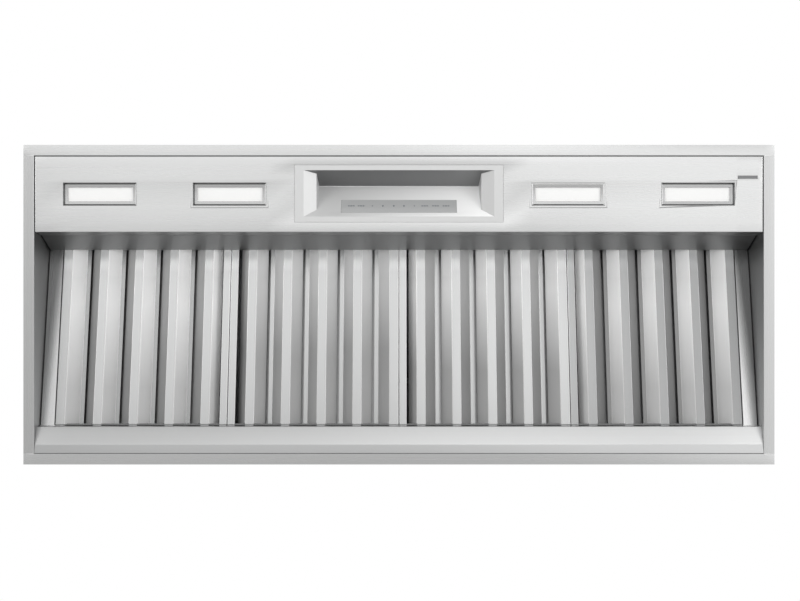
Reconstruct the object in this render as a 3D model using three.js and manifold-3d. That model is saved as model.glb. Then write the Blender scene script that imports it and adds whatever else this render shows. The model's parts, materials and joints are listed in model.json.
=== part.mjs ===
// A range hood insert: a wide sheet steel body that is pushed up into a cabinet and hangs by its
// flange. Its underside holds four bar lights, a sunk touch control and four baffle filters;
// inside are a twin blower, a discharge box and a duct collar with two gravity flaps.
// Millimetres, +Z up, -Y towards the cook. The origin is the middle of the flange's underside.
import * as THREE from 'three';
import { mergeVertices } from 'three/addons/utils/BufferGeometryUtils.js';
import Module from 'manifold-3d';

const wasm = await Module();
wasm.setup();

// ---------------------------------------------------------------- driving dimensions
// body
const overallLength = 1330; // X, across the flanges
const overallDepth = 566; // Y, across the flanges
const flangeWidth = 19; // the strip that shows all round
const returnFlange = 14; // inward flange at the top of each wall
const sheet = 1.2; // body sheet
const seatGap = 0.3; // clearance wherever one piece rests on another

// front panel
const panelDepth = 134.6;
const panelReveal = 1.3; // dark joint between flange and panel
const panelReturn = 8; // up-turned edge of the panel
const skirtHeight = 41; // rear edge of the panel, turned up into the cavity
const skirtLean = 3;

// lights
const lightLength = 129.8;
const lightDepth = 40.4;
const lensLength = 115.5;
const lensDepth = 24.4;
const lightRise = 6; // from the panel face up to the lens opening
const lensThickness = 3;
const lensSeat = 1.7; // how far the lens edge sits behind the bezel
const lightRim = 1; // flat rim of the bezel
const sinkHeight = 18; // cooling fins above each light
const sinkFins = 9;

// control
const controlLength = 370;
const controlMarginFront = 15.4; // panel edge to bezel
const controlMarginRear = 18;
const controlBorderSide = 16; // flat border round the pocket
const controlBorderFront = 9;
const controlBorderRear = 9.8;
const pocketHeight = 45;
const pocketFrontRun = 24.6; // how far the front wall of the pocket leans
const cheekRun = 22.5; // shallow bevel at each end of the pocket
const cheekHeight = 10;
const pocketDraft = 2.7;
const bezelWall = 1.5;
const bezelLip = 3; // lip that lies on the panel's inner face
const glassLength = 205.5;
const glassWidth = 30.6;
const glassDrop = 9.4; // from the lower edge of the slope up to the glass
const glassThickness = 1.5;
const boardThickness = 1.6;
const boardMargin = 1.7; // how far the board reaches past the glass

// plain plate at the right of the panel
const badgeLength = 35;
const badgeWidth = 5;
const badgeFromEnd = 9.5;
const badgeFromFront = 34.4;
const badgeRim = 2;

// cavity and filters
const ledgeRun = 27.6; // panel edge to the front ledge of the filters
const ledgeHeight = 102;
const ledgeLength = 42;
const wallSeam = 0.8; // joint between the skirt and the inclined wall
const filterCount = 4;
const filterGap = 1; // between neighbours
const filterThickness = 45;
const filterOverlap = 14; // on the ledge, and again on the rear lip
const filterSheet = 1;
const bodyToLip = 4.4; // thick part of a filter stops this far in front of the rear lip
const fillerWidth = 26.8;
const fillerFlange = 20;
const fillerHem = 6;
const baffleCount = 4; // whole baffles in each filter
const baffleFlat = 15.4;
const baffleFlank = 17.5; // run of one inclined side
const baffleRise = 26;
const stripWidth = 13.5;
const stripSlot = 4.5;
const tieHeight = 8;
const slideTravel = 16; // how far a filter is pushed forward to free its rear edge
const springHeight = 22;
const springFoot = 9;

// rear rail
const railDepth = 46.5; // rear wall to the lip
const railCreaseDepth = 16;
const railCreaseHeight = 2.6;
const railNoseHeight = 14;
const lipHeight = 36.6;
const railFlange = 8;
const restFoot = 9; // foot of the strip that carries the filters

// blower
const wheelRadius = 58;
const wheelWidth = 86;
const wheelSideGap = 4.8;
const wheelPlate = 2;
const bladeCount = 16;
const bladeDepth = 10;
const bladeThickness = 1.2;
const hubRadius = 12;
const hubLength = 24;
const scrollStart = 6; // wheel to the tight end of the scroll
const scrollGrowth = 26;
const scrollNeck = 6;
const inletRadius = 45;
const blowerToFilter = 10;
const blowerFromRear = 154; // rear wall to the shaft
const motorRadius = 44;
const motorLength = 90;
const motorEndGap = 6;
const shaftRadius = 5;
const shaftSpare = 12; // shaft past each wheel's centre plate
const strapWidth = 26;
const strapThickness = 4;
const strapBar = 10;

// discharge, collar and flaps
const dischargeHeight = 61.3;
const dischargeMargin = 10;
const ductRadius = 127;
const ductFromRear = 187;
const collarHeight = 60;
const collarWall = 1.2;
const collarFlange = 14;
const flapHeight = 25; // top panel to the flaps' rod
const flapThickness = 1.2;
const flapClearance = 1.5;
const flapStop = 4; // ledge in the collar that the flaps rest on
const rodRadius = 3;
const knuckleWall = 1.6;
const knuckleLength = 22;
const knuckleSpacing = 92;
const flapSetback = 6.5; // straight edge of a flap to the rod's centre

// wiring
const junctionLength = 100;
const junctionDepth = 70;
const junctionHeight = 58;
const junctionFromEnd = 245;
const coverThickness = 1.5;
const conduitRadius = 8;
const conduitHoleSpare = 3;
const conduitRise = 42; // hole in the partition above the shaft
const clampRadius = 14;
const clampBore = 9;
const clampHeight = 16;
const clampFlange = 5;
const driverLength = 180;
const driverDepth = 34;
const driverHeight = 60;
const driverFromEnd = 325;
const driverLevel = 150;
const driverEar = 12;

// ---------------------------------------------------------------- sizes that follow
const innerX = overallLength / 2 - flangeWidth;
const innerY = overallDepth / 2 - flangeWidth;
const outerX = innerX + sheet;
const outerY = innerY + sheet;
const fullX = innerX - seatGap; // half length of what spans the body inside

const panelX = innerX - panelReveal;
const panelFront = -innerY + panelReveal;
const panelRear = panelFront + panelDepth;

const ledgeY = panelRear + ledgeRun;
const lipY = innerY - railDepth;
const slope = Math.atan2(ledgeHeight - lipHeight - seatGap, lipY - ledgeY);
const filterRun = (lipY - ledgeY) / Math.cos(slope); // ledge edge to lip, along the slope
const filterPitch = (2 * innerX - 2 * fillerWidth) / filterCount;
const filterWidth = filterPitch - filterGap;
const bafflePitch =
  (filterWidth - stripWidth - stripSlot - baffleFlank - baffleFlat) / baffleCount;
const baffleWidth = baffleFlat + 2 * baffleFlank;
const baffleSlot = bafflePitch - baffleWidth;

const blowerY = innerY - blowerFromRear;
const scrollTight = wheelRadius + scrollStart;
const scrollRadius = (angle) => scrollTight + (scrollGrowth * angle) / (1.5 * Math.PI);
const towardsFilter = scrollRadius(Math.PI - slope);
const blowerZ =
  ledgeHeight +
  (filterThickness + blowerToFilter + towardsFilter - (blowerY - ledgeY) * Math.sin(slope)) /
    Math.cos(slope);
const outletZ = blowerZ + scrollTight + scrollNeck;
const bodyHeight = outletZ + seatGap + dischargeHeight + seatGap + sheet;
const underTop = bodyHeight - sheet - seatGap;
const scrollInner = motorLength / 2 + motorEndGap;
const scrollWidth = wheelWidth + 2 * wheelSideGap + 2 * sheet;
const scrollOuter = scrollInner + scrollWidth;
const wheelX = scrollInner + scrollWidth / 2;
const ductY = innerY - ductFromRear;
const rodZ = bodyHeight + flapHeight;
const junctionFromCentre = overallLength / 2 - junctionFromEnd;
const driverFromCentre = overallLength / 2 - driverFromEnd;

// ---------------------------------------------------------------- materials
const steel = (color, roughness = 0.35) =>
  new THREE.MeshStandardMaterial({ color, roughness, metalness: 1 });
const plastic = (color, roughness = 0.5) =>
  new THREE.MeshStandardMaterial({ color, roughness, metalness: 0 });

const brushed = steel(0xc9c9c7, 0.32);
const cavitySteel = steel(0x9a9b9b, 0.28);
const baffleSteel = steel(0xd2d2d0, 0.25);
const bezelSteel = steel(0xc4c4c2, 0.3);
const galvanised = steel(0xa9adb0, 0.5);
const springSteel = steel(0x8f9296, 0.35);
const lensWhite = plastic(0xf4f4f0, 0.45);
const darkGlass = plastic(0x8e8f91, 0.15);
const boardGreen = plastic(0x2c5a3c, 0.6);
const motorBlack = plastic(0x2a2b2d, 0.55);
const sinkGrey = steel(0x74777a, 0.5);
const boxGrey = plastic(0x4a4c50, 0.6);

// ---------------------------------------------------------------- solids
const vec = (x, y, z) => new THREE.Vector3(x, y, z);

// An outline of [a, b] points pushed along one axis, from one plane to another.
function prism(points, from, to, axis) {
  const shape = new THREE.Shape(points.map(([a, b]) => new THREE.Vector2(a, b)));
  const solid = new THREE.ExtrudeGeometry(shape, { depth: to - from, bevelEnabled: false });
  const place = new THREE.Matrix4();
  if (axis === 'x') place.makeBasis(vec(0, 1, 0), vec(0, 0, 1), vec(1, 0, 0)).setPosition(from, 0, 0);
  if (axis === 'y') place.makeBasis(vec(1, 0, 0), vec(0, 0, 1), vec(0, -1, 0)).setPosition(0, to, 0);
  if (axis === 'z') place.setPosition(0, 0, from);
  return solid.applyMatrix4(place);
}

function box(x0, x1, y0, y1, z0, z1) {
  const solid = new THREE.BoxGeometry(x1 - x0, y1 - y0, z1 - z0);
  return solid.translate((x0 + x1) / 2, (y0 + y1) / 2, (z0 + z1) / 2);
}

const rectangle = (x0, x1, y0, y1) => [
  [x0, y0],
  [x1, y0],
  [x1, y1],
  [x0, y1],
];

// A round bar along X, Y or Z between two planes, centred on the other two coordinates.
function bar(radius, from, to, axis, a, b, sides = 24) {
  const solid = new THREE.CylinderGeometry(radius, radius, to - from, sides);
  const middle = (from + to) / 2;
  if (axis === 'x') return solid.rotateZ(Math.PI / 2).translate(middle, a, b);
  if (axis === 'z') return solid.rotateX(Math.PI / 2).translate(a, b, middle);
  return solid.translate(a, middle, b);
}

// The outline of a bent sheet: a line of folds, and the same line offset to its left.
function bentSheet(folds, thickness) {
  const offset = folds.map((fold, i) => {
    const before = folds[Math.max(i - 1, 0)];
    const after = folds[Math.min(i + 1, folds.length - 1)];
    const unit = (p, q) => new THREE.Vector2(q[0] - p[0], q[1] - p[1]).normalize();
    const into = i > 0 ? unit(before, fold) : unit(fold, after);
    const out = i < folds.length - 1 ? unit(fold, after) : into;
    const middle = new THREE.Vector2(-into.y - out.y, into.x + out.x).normalize();
    const stretch = thickness / middle.dot(new THREE.Vector2(-into.y, into.x));
    return [fold[0] + middle.x * stretch, fold[1] + middle.y * stretch];
  });
  return [...folds, ...offset.reverse()];
}

// Rectangles {x0, x1, y0, y1, z} skinned one to the next: a capped shell, or a closed frame.
function skin(rings, closed) {
  const corners = rings.flatMap(({ x0, x1, y0, y1, z }) =>
    rectangle(x0, x1, y0, y1).map(([x, y]) => [x, y, z]),
  );
  const faces = [];
  const quad = (a, b, c, d) => faces.push(a, b, c, a, c, d);
  const count = closed ? rings.length : rings.length - 1;
  for (let ring = 0; ring < count; ring++) {
    const near = ring * 4;
    const far = ((ring + 1) % rings.length) * 4;
    for (let i = 0; i < 4; i++) quad(near + i, near + ((i + 1) % 4), far + ((i + 1) % 4), far + i);
  }
  if (!closed) {
    const last = (rings.length - 1) * 4;
    quad(3, 2, 1, 0);
    quad(last, last + 1, last + 2, last + 3);
  }
  const solid = new THREE.BufferGeometry();
  solid.setAttribute('position', new THREE.Float32BufferAttribute(corners.flat(), 3));
  solid.setIndex(faces);
  return solid;
}

const centred = (halfX, halfY, z, x = 0, y = 0) => ({
  x0: x - halfX,
  x1: x + halfX,
  y0: y - halfY,
  y1: y + halfY,
  z,
});

// Corners are put on a grid of a micrometre, so that faces meant to be flush are exactly flush.
function toManifold(geometry) {
  const grid = 1000;
  const corners = Array.from(geometry.getAttribute('position').array, (v) => Math.round(v * grid) / grid);
  const bare = new THREE.BufferGeometry();
  bare.setAttribute('position', new THREE.Float32BufferAttribute(corners, 3));
  if (geometry.index) bare.setIndex(geometry.index);
  const merged = mergeVertices(bare, 1e-4);
  const vertProperties = new Float32Array(merged.getAttribute('position').array);
  const triVerts = new Uint32Array(merged.index.array);
  return new wasm.Manifold(new wasm.Mesh({ numProp: 3, vertProperties, triVerts }));
}

function toGeometry(manifold) {
  const mesh = manifold.getMesh();
  const geometry = new THREE.BufferGeometry();
  geometry.setAttribute('position', new THREE.BufferAttribute(mesh.vertProperties, 3));
  geometry.setIndex(new THREE.BufferAttribute(mesh.triVerts, 1));
  return geometry;
}

// Joins the first list of geometries and cuts the second list out of the result.
function joined(parts, cuts = []) {
  const whole = parts.map(toManifold).reduce((sum, part) => sum.add(part));
  return toGeometry(cuts.map(toManifold).reduce((rest, cut) => rest.subtract(cut), whole));
}

const insert = new THREE.Group();

function piece(name, geometry, material, parent = insert) {
  const mesh = new THREE.Mesh(geometry, material);
  mesh.name = name;
  parent.add(mesh);
  return mesh;
}

// ---------------------------------------------------------------- body walls
const wallTop = underTop - seatGap;

for (const [name, side] of [['front_wall', -1], ['rear_wall', 1]]) {
  const inside = side * innerY;
  const span = (a, b) => (a < b ? [a, b] : [b, a]);
  const [wall0, wall1] = span(inside, inside + side * sheet);
  const [flange0, flange1] = span(inside, (side * overallDepth) / 2);
  const [return0, return1] = span(inside - side * returnFlange, inside + side * sheet);
  piece(
    name,
    joined([
      box(-outerX, outerX, wall0, wall1, 0, wallTop),
      box(-overallLength / 2, overallLength / 2, flange0, flange1, 0, sheet),
      box(-fullX, fullX, return0, return1, wallTop - sheet, wallTop),
    ]),
    brushed,
  );
}

const sideY = innerY - seatGap;
for (const [name, side] of [['left_wall', -1], ['right_wall', 1]]) {
  const profile = bentSheet(
    [
      [(side * overallLength) / 2, sheet],
      [side * outerX, sheet],
      [side * outerX, wallTop],
    ],
    side * sheet,
  );
  const returnY = innerY - returnFlange - seatGap;
  const wall = [prism(profile, -sideY, sideY, 'y')];
  const edge = [side * (innerX - returnFlange), side * outerX].sort((a, b) => a - b);
  wall.push(box(edge[0], edge[1], -returnY, returnY, wallTop - sheet, wallTop));
  piece(name, joined(wall), brushed);
}

const clampX = -junctionFromCentre;
const clampY = -(innerY - returnFlange - junctionDepth / 2 - 8 * sheet);
piece(
  'top_panel',
  joined(
    [box(-outerX, outerX, -outerY, outerY, bodyHeight - sheet, bodyHeight)],
    [
      bar(ductRadius - collarWall, bodyHeight - 3 * sheet, bodyHeight + sheet, 'z', 0, ductY, 40),
      bar(clampRadius + seatGap, bodyHeight - 3 * sheet, bodyHeight + sheet, 'z', clampX, clampY),
    ],
  ),
  galvanised,
);

// ---------------------------------------------------------------- front panel
const controlFront = panelFront + controlMarginFront;
const controlRear = panelRear - controlMarginRear;
const lightY = (controlFront + controlRear) / 2 + 0.9;
const lightBay = (panelX - controlLength / 2) / 2;
const lightInner = controlLength / 2 + lightBay / 2;
const lightOuter = lightInner + lightBay;
const lightXs = [-lightOuter, -lightInner, lightInner, lightOuter];

const badgeX = panelX - badgeFromEnd - badgeLength / 2;
const badgeY = panelFront + badgeFromFront + badgeWidth / 2;

// A cut through the panel for something that sits in it with the seat clearance all round.
const cutout = (halfX, halfY, x, y) =>
  box(
    x - halfX - seatGap,
    x + halfX + seatGap,
    y - halfY - seatGap,
    y + halfY + seatGap,
    -sheet,
    2 * sheet,
  );

const panelCuts = lightXs.map((x) => cutout(lightLength / 2, lightDepth / 2, x, lightY));
panelCuts.push(
  cutout(controlLength / 2, (controlRear - controlFront) / 2, 0, (controlFront + controlRear) / 2),
);
panelCuts.push(cutout(badgeLength / 2, badgeWidth / 2, badgeX, badgeY));

const skirtProfile = bentSheet(
  [
    [panelRear + skirtLean, skirtHeight],
    [panelRear, 0],
    [panelRear - 3 * sheet, 0],
  ],
  -sheet,
);
piece(
  'front_panel',
  joined(
    [
      box(-panelX, panelX, panelFront, panelRear, 0, sheet),
      box(-panelX, panelX, panelFront, panelFront + sheet, 0, panelReturn),
      box(-panelX, -panelX + sheet, panelFront, panelRear, 0, panelReturn),
      box(panelX - sheet, panelX, panelFront, panelRear, 0, panelReturn),
      prism(skirtProfile, -panelX, panelX, 'x'),
    ],
    panelCuts,
  ),
  brushed,
);

const badgeStem = box(
  badgeX - badgeLength / 2,
  badgeX + badgeLength / 2,
  badgeY - badgeWidth / 2,
  badgeY + badgeWidth / 2,
  0,
  2 * sheet,
);
const badgeBack = box(
  badgeX - badgeLength / 2 - badgeRim,
  badgeX + badgeLength / 2 + badgeRim,
  badgeY - badgeWidth / 2 - badgeRim,
  badgeY + badgeWidth / 2 + badgeRim,
  sheet + seatGap,
  2 * sheet + seatGap,
);
piece('badge_plate', joined([badgeStem, badgeBack]), boxGrey);

// ---------------------------------------------------------------- lights
const lipOver = 2.1; // how far a light's lip lies over the panel
const lipBase = sheet + seatGap;
const lensBase = lightRise + sheet;
const lensTop = lensBase + seatGap + lensThickness;
const moduleBase = lensTop + 2 * seatGap;

lightXs.forEach((x, i) => {
  const name = `light_${i + 1}`;
  const ring = (inset, z) => centred(lightLength / 2 - inset, lightDepth / 2 - inset, z, x, lightY);
  const open = (grow, z) => centred(lensLength / 2 + grow, lensDepth / 2 + grow, z, x, lightY);
  const shell = lightRim + sheet;
  piece(
    `${name}_bezel`,
    skin(
      [
        ring(0, 0),
        ring(lightRim, 0),
        open(0, lightRise),
        open(0, lensBase),
        open(lensSeat, lensBase),
        open(lensSeat, lensTop + seatGap),
        ring(shell, lensTop + seatGap),
        ring(shell, lipBase + sheet),
        ring(-lipOver, lipBase + sheet),
        ring(-lipOver, lipBase),
        ring(0, lipBase),
      ].reverse(),
      true,
    ),
    bezelSteel,
  );
  const lensX = lensLength / 2 + lensSeat - seatGap;
  const lensY = lensDepth / 2 + lensSeat - seatGap;
  piece(
    `${name}_lens`,
    box(x - lensX, x + lensX, lightY - lensY, lightY + lensY, lensBase + seatGap, lensTop),
    lensWhite,
  );
  const sinkX = lightLength / 2 - shell;
  const sinkY = lightDepth / 2 - shell;
  const finStep = (2 * sinkX - sheet) / (sinkFins - 1);
  const fins = [box(x - sinkX, x + sinkX, lightY - sinkY, lightY + sinkY, moduleBase, moduleBase + 2)];
  for (let fin = 0; fin < sinkFins; fin++) {
    const left = x - sinkX + fin * finStep;
    fins.push(
      box(left, left + sheet, lightY - sinkY, lightY + sinkY, moduleBase, moduleBase + sinkHeight),
    );
  }
  piece(`${name}_module`, joined(fins), sinkGrey);
});

// ---------------------------------------------------------------- control
const pocketFront = controlFront + controlBorderFront;
const pocketRear = controlRear - controlBorderRear;
const pocketX = controlLength / 2 - controlBorderSide;
const slopeRun = pocketRear - pocketFront - pocketFrontRun;
const slopeLength = Math.hypot(slopeRun, pocketHeight);
const frontLength = Math.hypot(pocketFrontRun, pocketHeight);
const cheekLength = Math.hypot(cheekRun, cheekHeight);
const slopeAngle = Math.atan2(pocketHeight, slopeRun);

// The pocket's section at height z, grown outwards by a wall.
function pocket(z, wall) {
  const share = z / pocketHeight;
  const cheekX = pocketX - (cheekRun * z) / cheekHeight + (wall * cheekLength) / cheekHeight;
  const drafted = pocketX - cheekRun - pocketDraft * share + wall;
  const halfX = Math.max(cheekX, drafted);
  return {
    x0: -halfX,
    x1: halfX,
    y0: pocketFront + pocketFrontRun * share - (wall * frontLength) / pocketHeight,
    y1: pocketRear - slopeRun * share + (wall * slopeLength) / pocketHeight,
    z,
  };
}

const controlRing = (grow, z) => ({
  x0: -controlLength / 2 - grow,
  x1: controlLength / 2 + grow,
  y0: controlFront - grow,
  y1: controlRear + grow,
  z,
});
const valley = 0.99; // the pocket stops just short of a sharp bottom edge
const cheekBack = (cheekHeight * (cheekRun + (bezelWall * cheekLength) / cheekHeight - bezelWall)) / cheekRun;
const bezelShell = skin(
  [
    pocket(pocketHeight * valley, 0),
    pocket(cheekHeight, 0),
    pocket(0, 0),
    controlRing(0, 0),
    controlRing(0, lipBase),
    controlRing(bezelLip, lipBase),
    controlRing(bezelLip, lipBase + bezelWall),
    pocket(lipBase + bezelWall, bezelWall),
    pocket(cheekBack, bezelWall),
    pocket(pocketHeight * valley + bezelWall, bezelWall),
  ],
  false,
);

// Things on the sloped face are made flat, with their top face at z = 0, and laid on the slope.
const onSlope = new THREE.Matrix4()
  .makeTranslation(
    0,
    pocketRear - (glassDrop + glassWidth / 2) * Math.cos(slopeAngle),
    (glassDrop + glassWidth / 2) * Math.sin(slopeAngle),
  )
  .multiply(new THREE.Matrix4().makeRotationX(-slopeAngle));
const glassBox = (grow, z0, z1) =>
  box(
    -glassLength / 2 - grow,
    glassLength / 2 + grow,
    -glassWidth / 2 - grow,
    glassWidth / 2 + grow,
    z0,
    z1,
  );
piece(
  'control_bezel',
  joined([bezelShell], [glassBox(seatGap, -4 * bezelWall, 2 * bezelWall).applyMatrix4(onSlope)]),
  bezelSteel,
);
piece('control_glass', glassBox(0, 0, glassThickness).applyMatrix4(onSlope), darkGlass);

const boardBase = bezelWall + seatGap;
const boardTop = boardBase + boardThickness;
const chips = [-80, -30, 15, 70].map((x) => box(x, x + 14, -6, 6, boardTop - 0.4, boardTop + 3));
piece(
  'control_board',
  joined([glassBox(boardMargin, boardBase, boardTop), ...chips]).applyMatrix4(onSlope),
  boardGreen,
);

// ---------------------------------------------------------------- cavity
const alongSlope = (u, w) => [
  ledgeY + u * Math.cos(slope) + w * Math.sin(slope),
  ledgeHeight - u * Math.sin(slope) + w * Math.cos(slope),
];
const ledgeTip = alongSlope(0, -seatGap);
const ledgeBack = alongSlope(-ledgeLength, -seatGap);
const conduitX = strapWidth / 2 + 1.5 * conduitRadius; // past the motor's strap
const holeZ = blowerZ + conduitRise;
const conduitHole = bar(
  conduitRadius + conduitHoleSpare,
  ledgeBack[0] - 4 * sheet,
  ledgeBack[0] + 4 * sheet,
  'y',
  conduitX,
  holeZ,
);
const seamRun = (wallSeam * (ledgeRun - skirtLean)) / (ledgeHeight - skirtHeight);
piece(
  'cavity_front_wall',
  joined(
    [
      prism(
        bentSheet(
          [
            [panelRear + skirtLean + seamRun, skirtHeight + wallSeam],
            ledgeTip,
            ledgeBack,
            [ledgeBack[0], wallTop - returnFlange],
          ],
          sheet,
        ),
        -fullX,
        fullX,
        'x',
      ),
    ],
    [conduitHole],
  ),
  cavitySteel,
);

piece(
  'rear_rail',
  prism(
    bentSheet(
      [
        [innerY - seatGap, railFlange],
        [innerY - seatGap, 0],
        [innerY - railCreaseDepth, railCreaseHeight],
        [lipY, railNoseHeight],
      ],
      -sheet,
    ),
    -fullX,
    fullX,
    'x',
  ),
  brushed,
);

// The rest stands on the rail's nose, with its foot lying back along the rail's upper face.
const noseRun = lipY - (innerY - railCreaseDepth);
const noseRise = railNoseHeight - railCreaseHeight;
const noseLength = Math.hypot(noseRun, noseRise);
const restLift = ((sheet + seatGap) * noseLength) / -noseRun;
const restAt = (back) => [
  lipY + (back * -noseRun) / noseLength,
  railNoseHeight + restLift - (back * noseRise) / noseLength,
];
piece(
  'filter_rest',
  prism(
    bentSheet([restAt(restFoot), restAt(0), [lipY, lipHeight]], -sheet),
    -fullX,
    fullX,
    'x',
  ),
  brushed,
);

// Everything that lies in the filters' plane: Y runs down the slope from the ledge's edge.
const filterPlane = new THREE.Group();
filterPlane.position.set(0, ledgeY, ledgeHeight);
filterPlane.rotation.x = -slope;
insert.add(filterPlane);

for (const [name, side] of [['left_filler', -1], ['right_filler', 1]]) {
  const wall = side * fullX;
  const edge = side * (innerX - fillerWidth);
  const profile = bentSheet(
    [
      [edge, fillerHem],
      [edge, 0],
      [wall, 0],
      [wall, fillerFlange],
    ],
    side * sheet,
  );
  piece(
    name,
    prism(profile, -filterOverlap, filterRun + filterOverlap, 'y'),
    cavitySteel,
    filterPlane,
  );
}

// ---------------------------------------------------------------- filters
const thin = filterSheet;
const endWeb = thin + seatGap;
const filterFront = -filterOverlap;
const filterBody = filterRun - bodyToLip;
const filterRear = filterRun + filterOverlap;

// One filter's pieces. x runs from its strip edge; a turned filter has its strip at the right.
function filterPieces(left, turned) {
  const at = (x) => (turned ? left + filterWidth - x : left + x);
  const slab = (x0, x1, y0, y1, z0, z1) =>
    box(Math.min(at(x0), at(x1)), Math.max(at(x0), at(x1)), y0, y1, z0, z1);
  const folded = (folds, y0, y1, side = 1) =>
    prism(
      bentSheet(folds.map(([x, z]) => [at(x), z]), (turned ? -1 : 1) * side * thin),
      y0,
      y1,
      'y',
    );
  const width = filterWidth;
  const rightStrip = width - baffleFlat;
  const firstBaffle = stripWidth + stripSlot;

  // Bent side channels, end webs between them, and the strips' tongues on the rear lip.
  const frame = joined([
    folded([[stripWidth, 0], [0, 0], [0, filterThickness]], filterFront, filterBody, -1),
    folded(
      [[rightStrip - baffleFlank, baffleRise], [rightStrip, 0], [width, 0], [width, filterThickness]],
      filterFront,
      filterBody,
    ),
    slab(0, stripWidth, filterBody, filterRear, 0, thin),
    slab(rightStrip, width, filterBody, filterRear, 0, thin),
    slab(thin, width - thin, filterFront, filterFront + thin, endWeb, filterThickness),
    slab(thin, width - thin, filterBody - thin, filterBody, endWeb, filterThickness),
  ]);

  const inFront = filterFront + endWeb;
  const inRear = filterBody - endWeb;
  const lower = [];
  for (let i = 0; i < baffleCount; i++) {
    const x = firstBaffle + i * bafflePitch;
    const flat0 = x + baffleFlank;
    const flat1 = flat0 + baffleFlat;
    const folds = [[x, baffleRise], [flat0, 0], [flat1, 0], [x + baffleWidth, baffleRise]];
    lower.push(folded(folds, inFront, inRear));
    lower.push(slab(flat0, flat1, filterFront, inFront, 0, thin));
    lower.push(slab(flat0, flat1, inRear, filterRear, 0, thin));
  }
  const lastEdge = firstBaffle + (baffleCount - 1) * bafflePitch + baffleWidth;
  for (const y of [inFront + thin / 2, inRear - 1.5 * thin]) {
    const tie = baffleRise - thin / 2;
    lower.push(slab(firstBaffle + thin, lastEdge - thin, y, y + thin, tie - tieHeight, tie));
  }

  const upperFront = inFront + 2 * endWeb;
  const upperRear = inRear - 2 * endWeb;
  const upper = [];
  const half = baffleFlat / 2;
  for (let i = 0; i < baffleCount; i++) {
    const middle = firstBaffle + i * bafflePitch + baffleWidth + baffleSlot / 2;
    const low = filterThickness - baffleRise;
    upper.push(
      folded(
        [
          [middle - half - baffleFlank, low],
          [middle - half, filterThickness],
          [middle + half, filterThickness],
          [middle + half + baffleFlank, low],
        ],
        upperFront,
        upperRear,
        -1,
      ),
    );
  }
  upper.push(
    folded(
      [
        [endWeb, filterThickness],
        [endWeb + baffleFlat, filterThickness],
        [endWeb + baffleFlat + baffleFlank, filterThickness - baffleRise],
      ],
      upperFront,
      upperRear,
      -1,
    ),
  );
  const tieBase = filterThickness - thin - tieHeight;
  for (const y of [upperFront + thin / 2, upperRear - 1.5 * thin]) {
    upper.push(slab(endWeb + half, lastEdge, y, y + thin, tieBase, filterThickness - thin / 2));
  }
  return [frame, joined(lower), joined(upper)];
}

for (let n = 1; n <= filterCount; n++) {
  const left = -innerX + fillerWidth + (n - 1) * filterPitch + filterGap / 2;
  const [frame, lower, upper] = filterPieces(left, n === 1);
  const name = `filter_${n}`;
  piece(`${name}_frame`, frame, baffleSteel, filterPlane);
  piece(`${name}_lower_baffles`, lower, baffleSteel, filterPlane);
  piece(`${name}_upper_baffles`, upper, baffleSteel, filterPlane);
  const springProfile = bentSheet(
    [
      [filterFront - seatGap - springFoot, 0],
      [filterFront - seatGap, 0],
      [filterFront - seatGap, springHeight],
    ],
    thin,
  );
  const inset = 2 * stripWidth;
  piece(
    `${name}_spring`,
    prism(springProfile, left + inset, left + filterWidth - inset, 'x'),
    springSteel,
    filterPlane,
  );
}

// ---------------------------------------------------------------- blower
// Outline of a scroll seen along X: it opens from the top, round the front, to the rear.
function scrollOutline(wall, top) {
  const outline = [];
  const steps = 20;
  for (let i = 0; i <= steps; i++) {
    const angle = (1.5 * Math.PI * i) / steps;
    const radius = scrollRadius(angle) - wall;
    outline.push([blowerY - radius * Math.sin(angle), blowerZ + radius * Math.cos(angle)]);
  }
  outline[0][0] += wall;
  outline.push([blowerY + scrollRadius(1.5 * Math.PI) - wall, top]);
  outline.push([blowerY + wall, top]);
  return outline;
}

function scroll(x0, x1) {
  return joined(
    [prism(scrollOutline(0, outletZ), x0, x1, 'x')],
    [
      prism(scrollOutline(sheet, outletZ + sheet), x0 + sheet, x1 - sheet, 'x'),
      bar(inletRadius, x0 - sheet, x1 + sheet, 'x', blowerY, blowerZ, 32),
    ],
  );
}
piece('blower_scroll_left', scroll(-scrollOuter, -scrollInner), galvanised);
piece('blower_scroll_right', scroll(scrollInner, scrollOuter), galvanised);

// The bladed drum of a wheel: blades along its rim and a ring at each end.
function drum(x) {
  const x0 = x - wheelWidth / 2;
  const x1 = x + wheelWidth / 2;
  const bladeTop = wheelRadius - bladeThickness;
  const parts = [
    bar(wheelRadius, x0, x0 + wheelPlate, 'x', 0, 0, bladeCount),
    bar(wheelRadius, x1 - wheelPlate, x1, 'x', 0, 0, bladeCount),
  ];
  for (let i = 0; i < bladeCount; i++) {
    const blade = box(
      x0 + wheelPlate / 2,
      x1 - wheelPlate / 2,
      -bladeThickness / 2,
      bladeThickness / 2,
      bladeTop - bladeDepth,
      bladeTop,
    );
    parts.push(blade.rotateX((2 * Math.PI * i) / bladeCount));
  }
  const mouth = wheelRadius - bladeDepth;
  return joined(parts, [
    bar(mouth, x0 - wheelPlate, x0 + 2 * wheelPlate, 'x', 0, 0, bladeCount),
    bar(mouth, x1 - 2 * wheelPlate, x1 + wheelPlate, 'x', 0, 0, bladeCount),
  ]);
}

// The centre plate that carries a drum, with its hub pressed on the shaft.
function hub(x) {
  const plate = wheelRadius - bladeThickness - bladeDepth - seatGap;
  return [
    bar(plate, x - wheelPlate / 2, x + wheelPlate / 2, 'x', 0, 0, 2 * bladeCount),
    bar(hubRadius, x - hubLength / 2, x + hubLength / 2, 'x', 0, 0, 12),
  ];
}

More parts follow.
